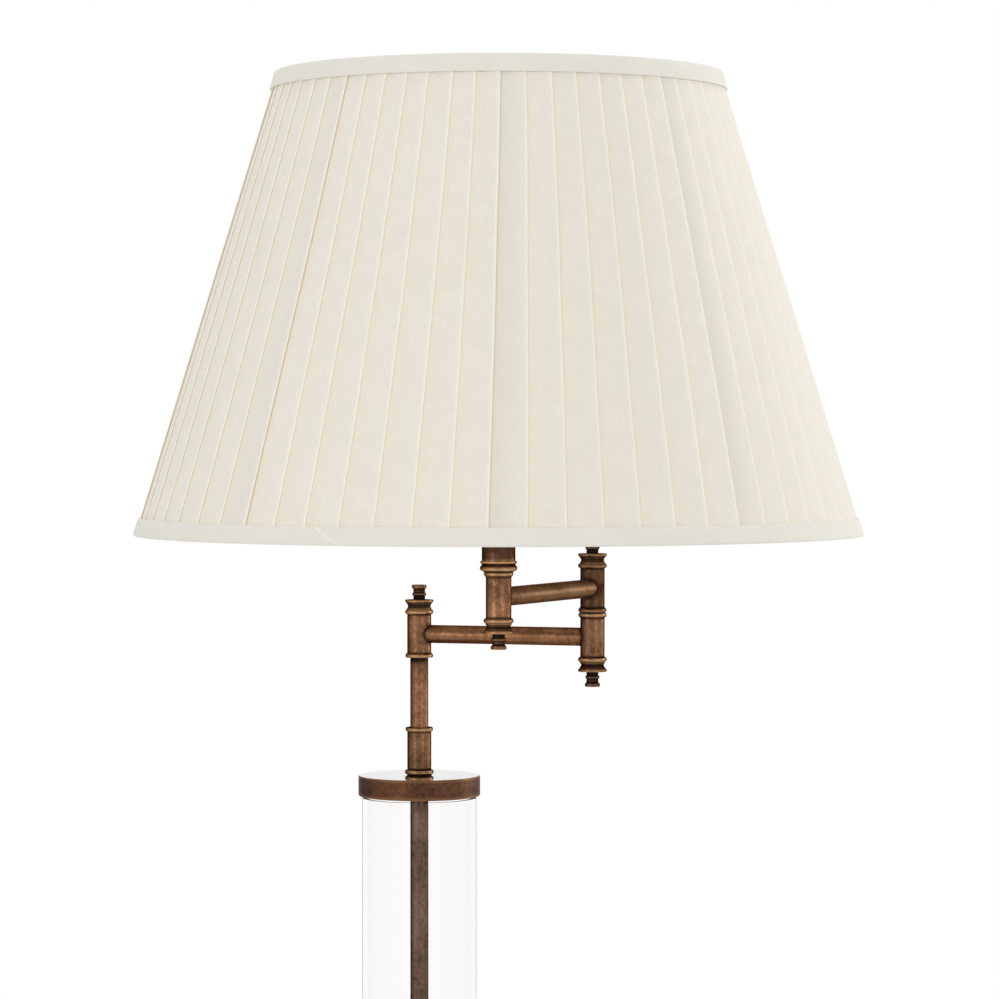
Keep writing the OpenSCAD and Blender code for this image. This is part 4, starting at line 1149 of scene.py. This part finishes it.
# %% [markdown]
# ## Finishes for the pieces that keep their solids
#
# The nuts, pivots, flexes, washers and the lampholder's inner parts are small, exact shapes
# that the frame already draws well. They only need real surfaces: speckled black moulding,
# glazed ceramic, brass, zinc, cast iron, rubber and the white enamel of the wires. The felt
# shares their finish, but as a sheet of cloth it is made again, with soft edges.

# %% A plain finish with mottling
def finish(name, colour, second, roughness, metallic=0.0, fineness=900.0, depth=0.02 * MM,
           spread=0.12, extra=None):
    """A material whose colour, gloss and skin vary a little over the surface."""
    material, tree, shader, place = material_start(name)
    marks = tree.node("Group", {"Place": place, "Fineness": fineness},
                      node_tree=speckle).outputs
    tree.fill(shader, {
        "Base Color": tree.mix(marks["Tone"], screen_colour(*colour), screen_colour(*second)),
        "Roughness": tree.ramp(marks["Tone"], 0, 1, roughness - spread / 2,
                               roughness + spread / 2),
        "Metallic": metallic, "Normal": bump(tree, marks["Height"], depth), **(extra or {}),
    })
    return material


brass = finish("brass", (196, 164, 96), (170, 136, 76), 0.3, metallic=1.0)
zinc = finish("zinc", (190, 190, 186), (160, 160, 158), 0.35, metallic=1.0)
iron = finish("cast_iron", (52, 52, 54), (38, 38, 40), 0.6, metallic=0.6, fineness=500,
              depth=0.15 * MM)
felt = finish("felt", (52, 66, 54), (38, 50, 41), 0.95, fineness=2500, depth=0.2 * MM,
              extra={"Sheen Weight": 0.4})
black_moulding = finish("black_moulding", (30, 27, 25), (22, 20, 19), 0.35)
glazed_ceramic = finish("glazed_ceramic", (238, 235, 226), (228, 224, 212), 0.2)
white_enamel = finish("white_enamel", (236, 234, 226), (224, 221, 212), 0.35)
cable_skin = finish("cable_skin", (226, 221, 206), (214, 208, 192), 0.5)
fibre_washer = finish("fibre_washer", (30, 26, 23), (20, 17, 15), 0.7)
clear_rubber = finish("clear_rubber", (255, 255, 255), (254, 254, 253), 0.04, depth=0.0,
                      spread=0.04, extra={"Transmission Weight": 1.0, "IOR": 1.0})
opal_glass = finish("opal_glass", (250, 249, 244), (245, 243, 236), 0.18, extra={
    "Subsurface Weight": 0.3, "Subsurface Scale": 2 * MM, "Coat Weight": 0.3})
print("plain finishes:", speckle.users)

# %% Felt under the base
felt_lo, felt_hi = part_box("base_felt")
felt_radius = (felt_hi.x - felt_lo.x) / 2
felt_section = rounded([(0, felt_lo.z, 0), (felt_radius, felt_lo.z, 0.8 * MM),
                        (felt_radius, felt_hi.z, 0.4 * MM), (0, felt_hi.z, 0)])
felt_pad = turned("felt_pad", divided(felt_section, 8 * MM), column_axis, steps=192)
dress(felt_pad, felt, "root", "felt", "base_felt")

# %% Give the remaining nodes their materials
kept = (
    (iron, "base_weight"), (bronze_rod, "tie_rod"), (zinc, "rod_washer bulb_cap"),
    (brass, "rod_nut column_pivot elbow_pivot riser_nipple"),
    (brass, "holder_nut holder_shell holder_contact"),
    (glazed_ceramic, "holder_insert"), (opal_glass, "bulb_glass"),
    (black_moulding, "cable_gland holder_skirt lower_shade_ring upper_shade_ring"),
    (clear_rubber, "lower_gasket upper_gasket"), (fibre_washer, "column_washer elbow_washer"),
    (cable_skin, "column_flex lower_arm_flex upper_arm_flex"),
    (white_enamel, "shade_spider bottom_ring_wire top_ring_wire shade_struts"),
)
for material, names in kept:
    for node in names.split():
        for slot in nodes[node].material_slots:
            slot.material = material
print("nodes with new materials:", sum(len(names.split()) for material, names in kept))
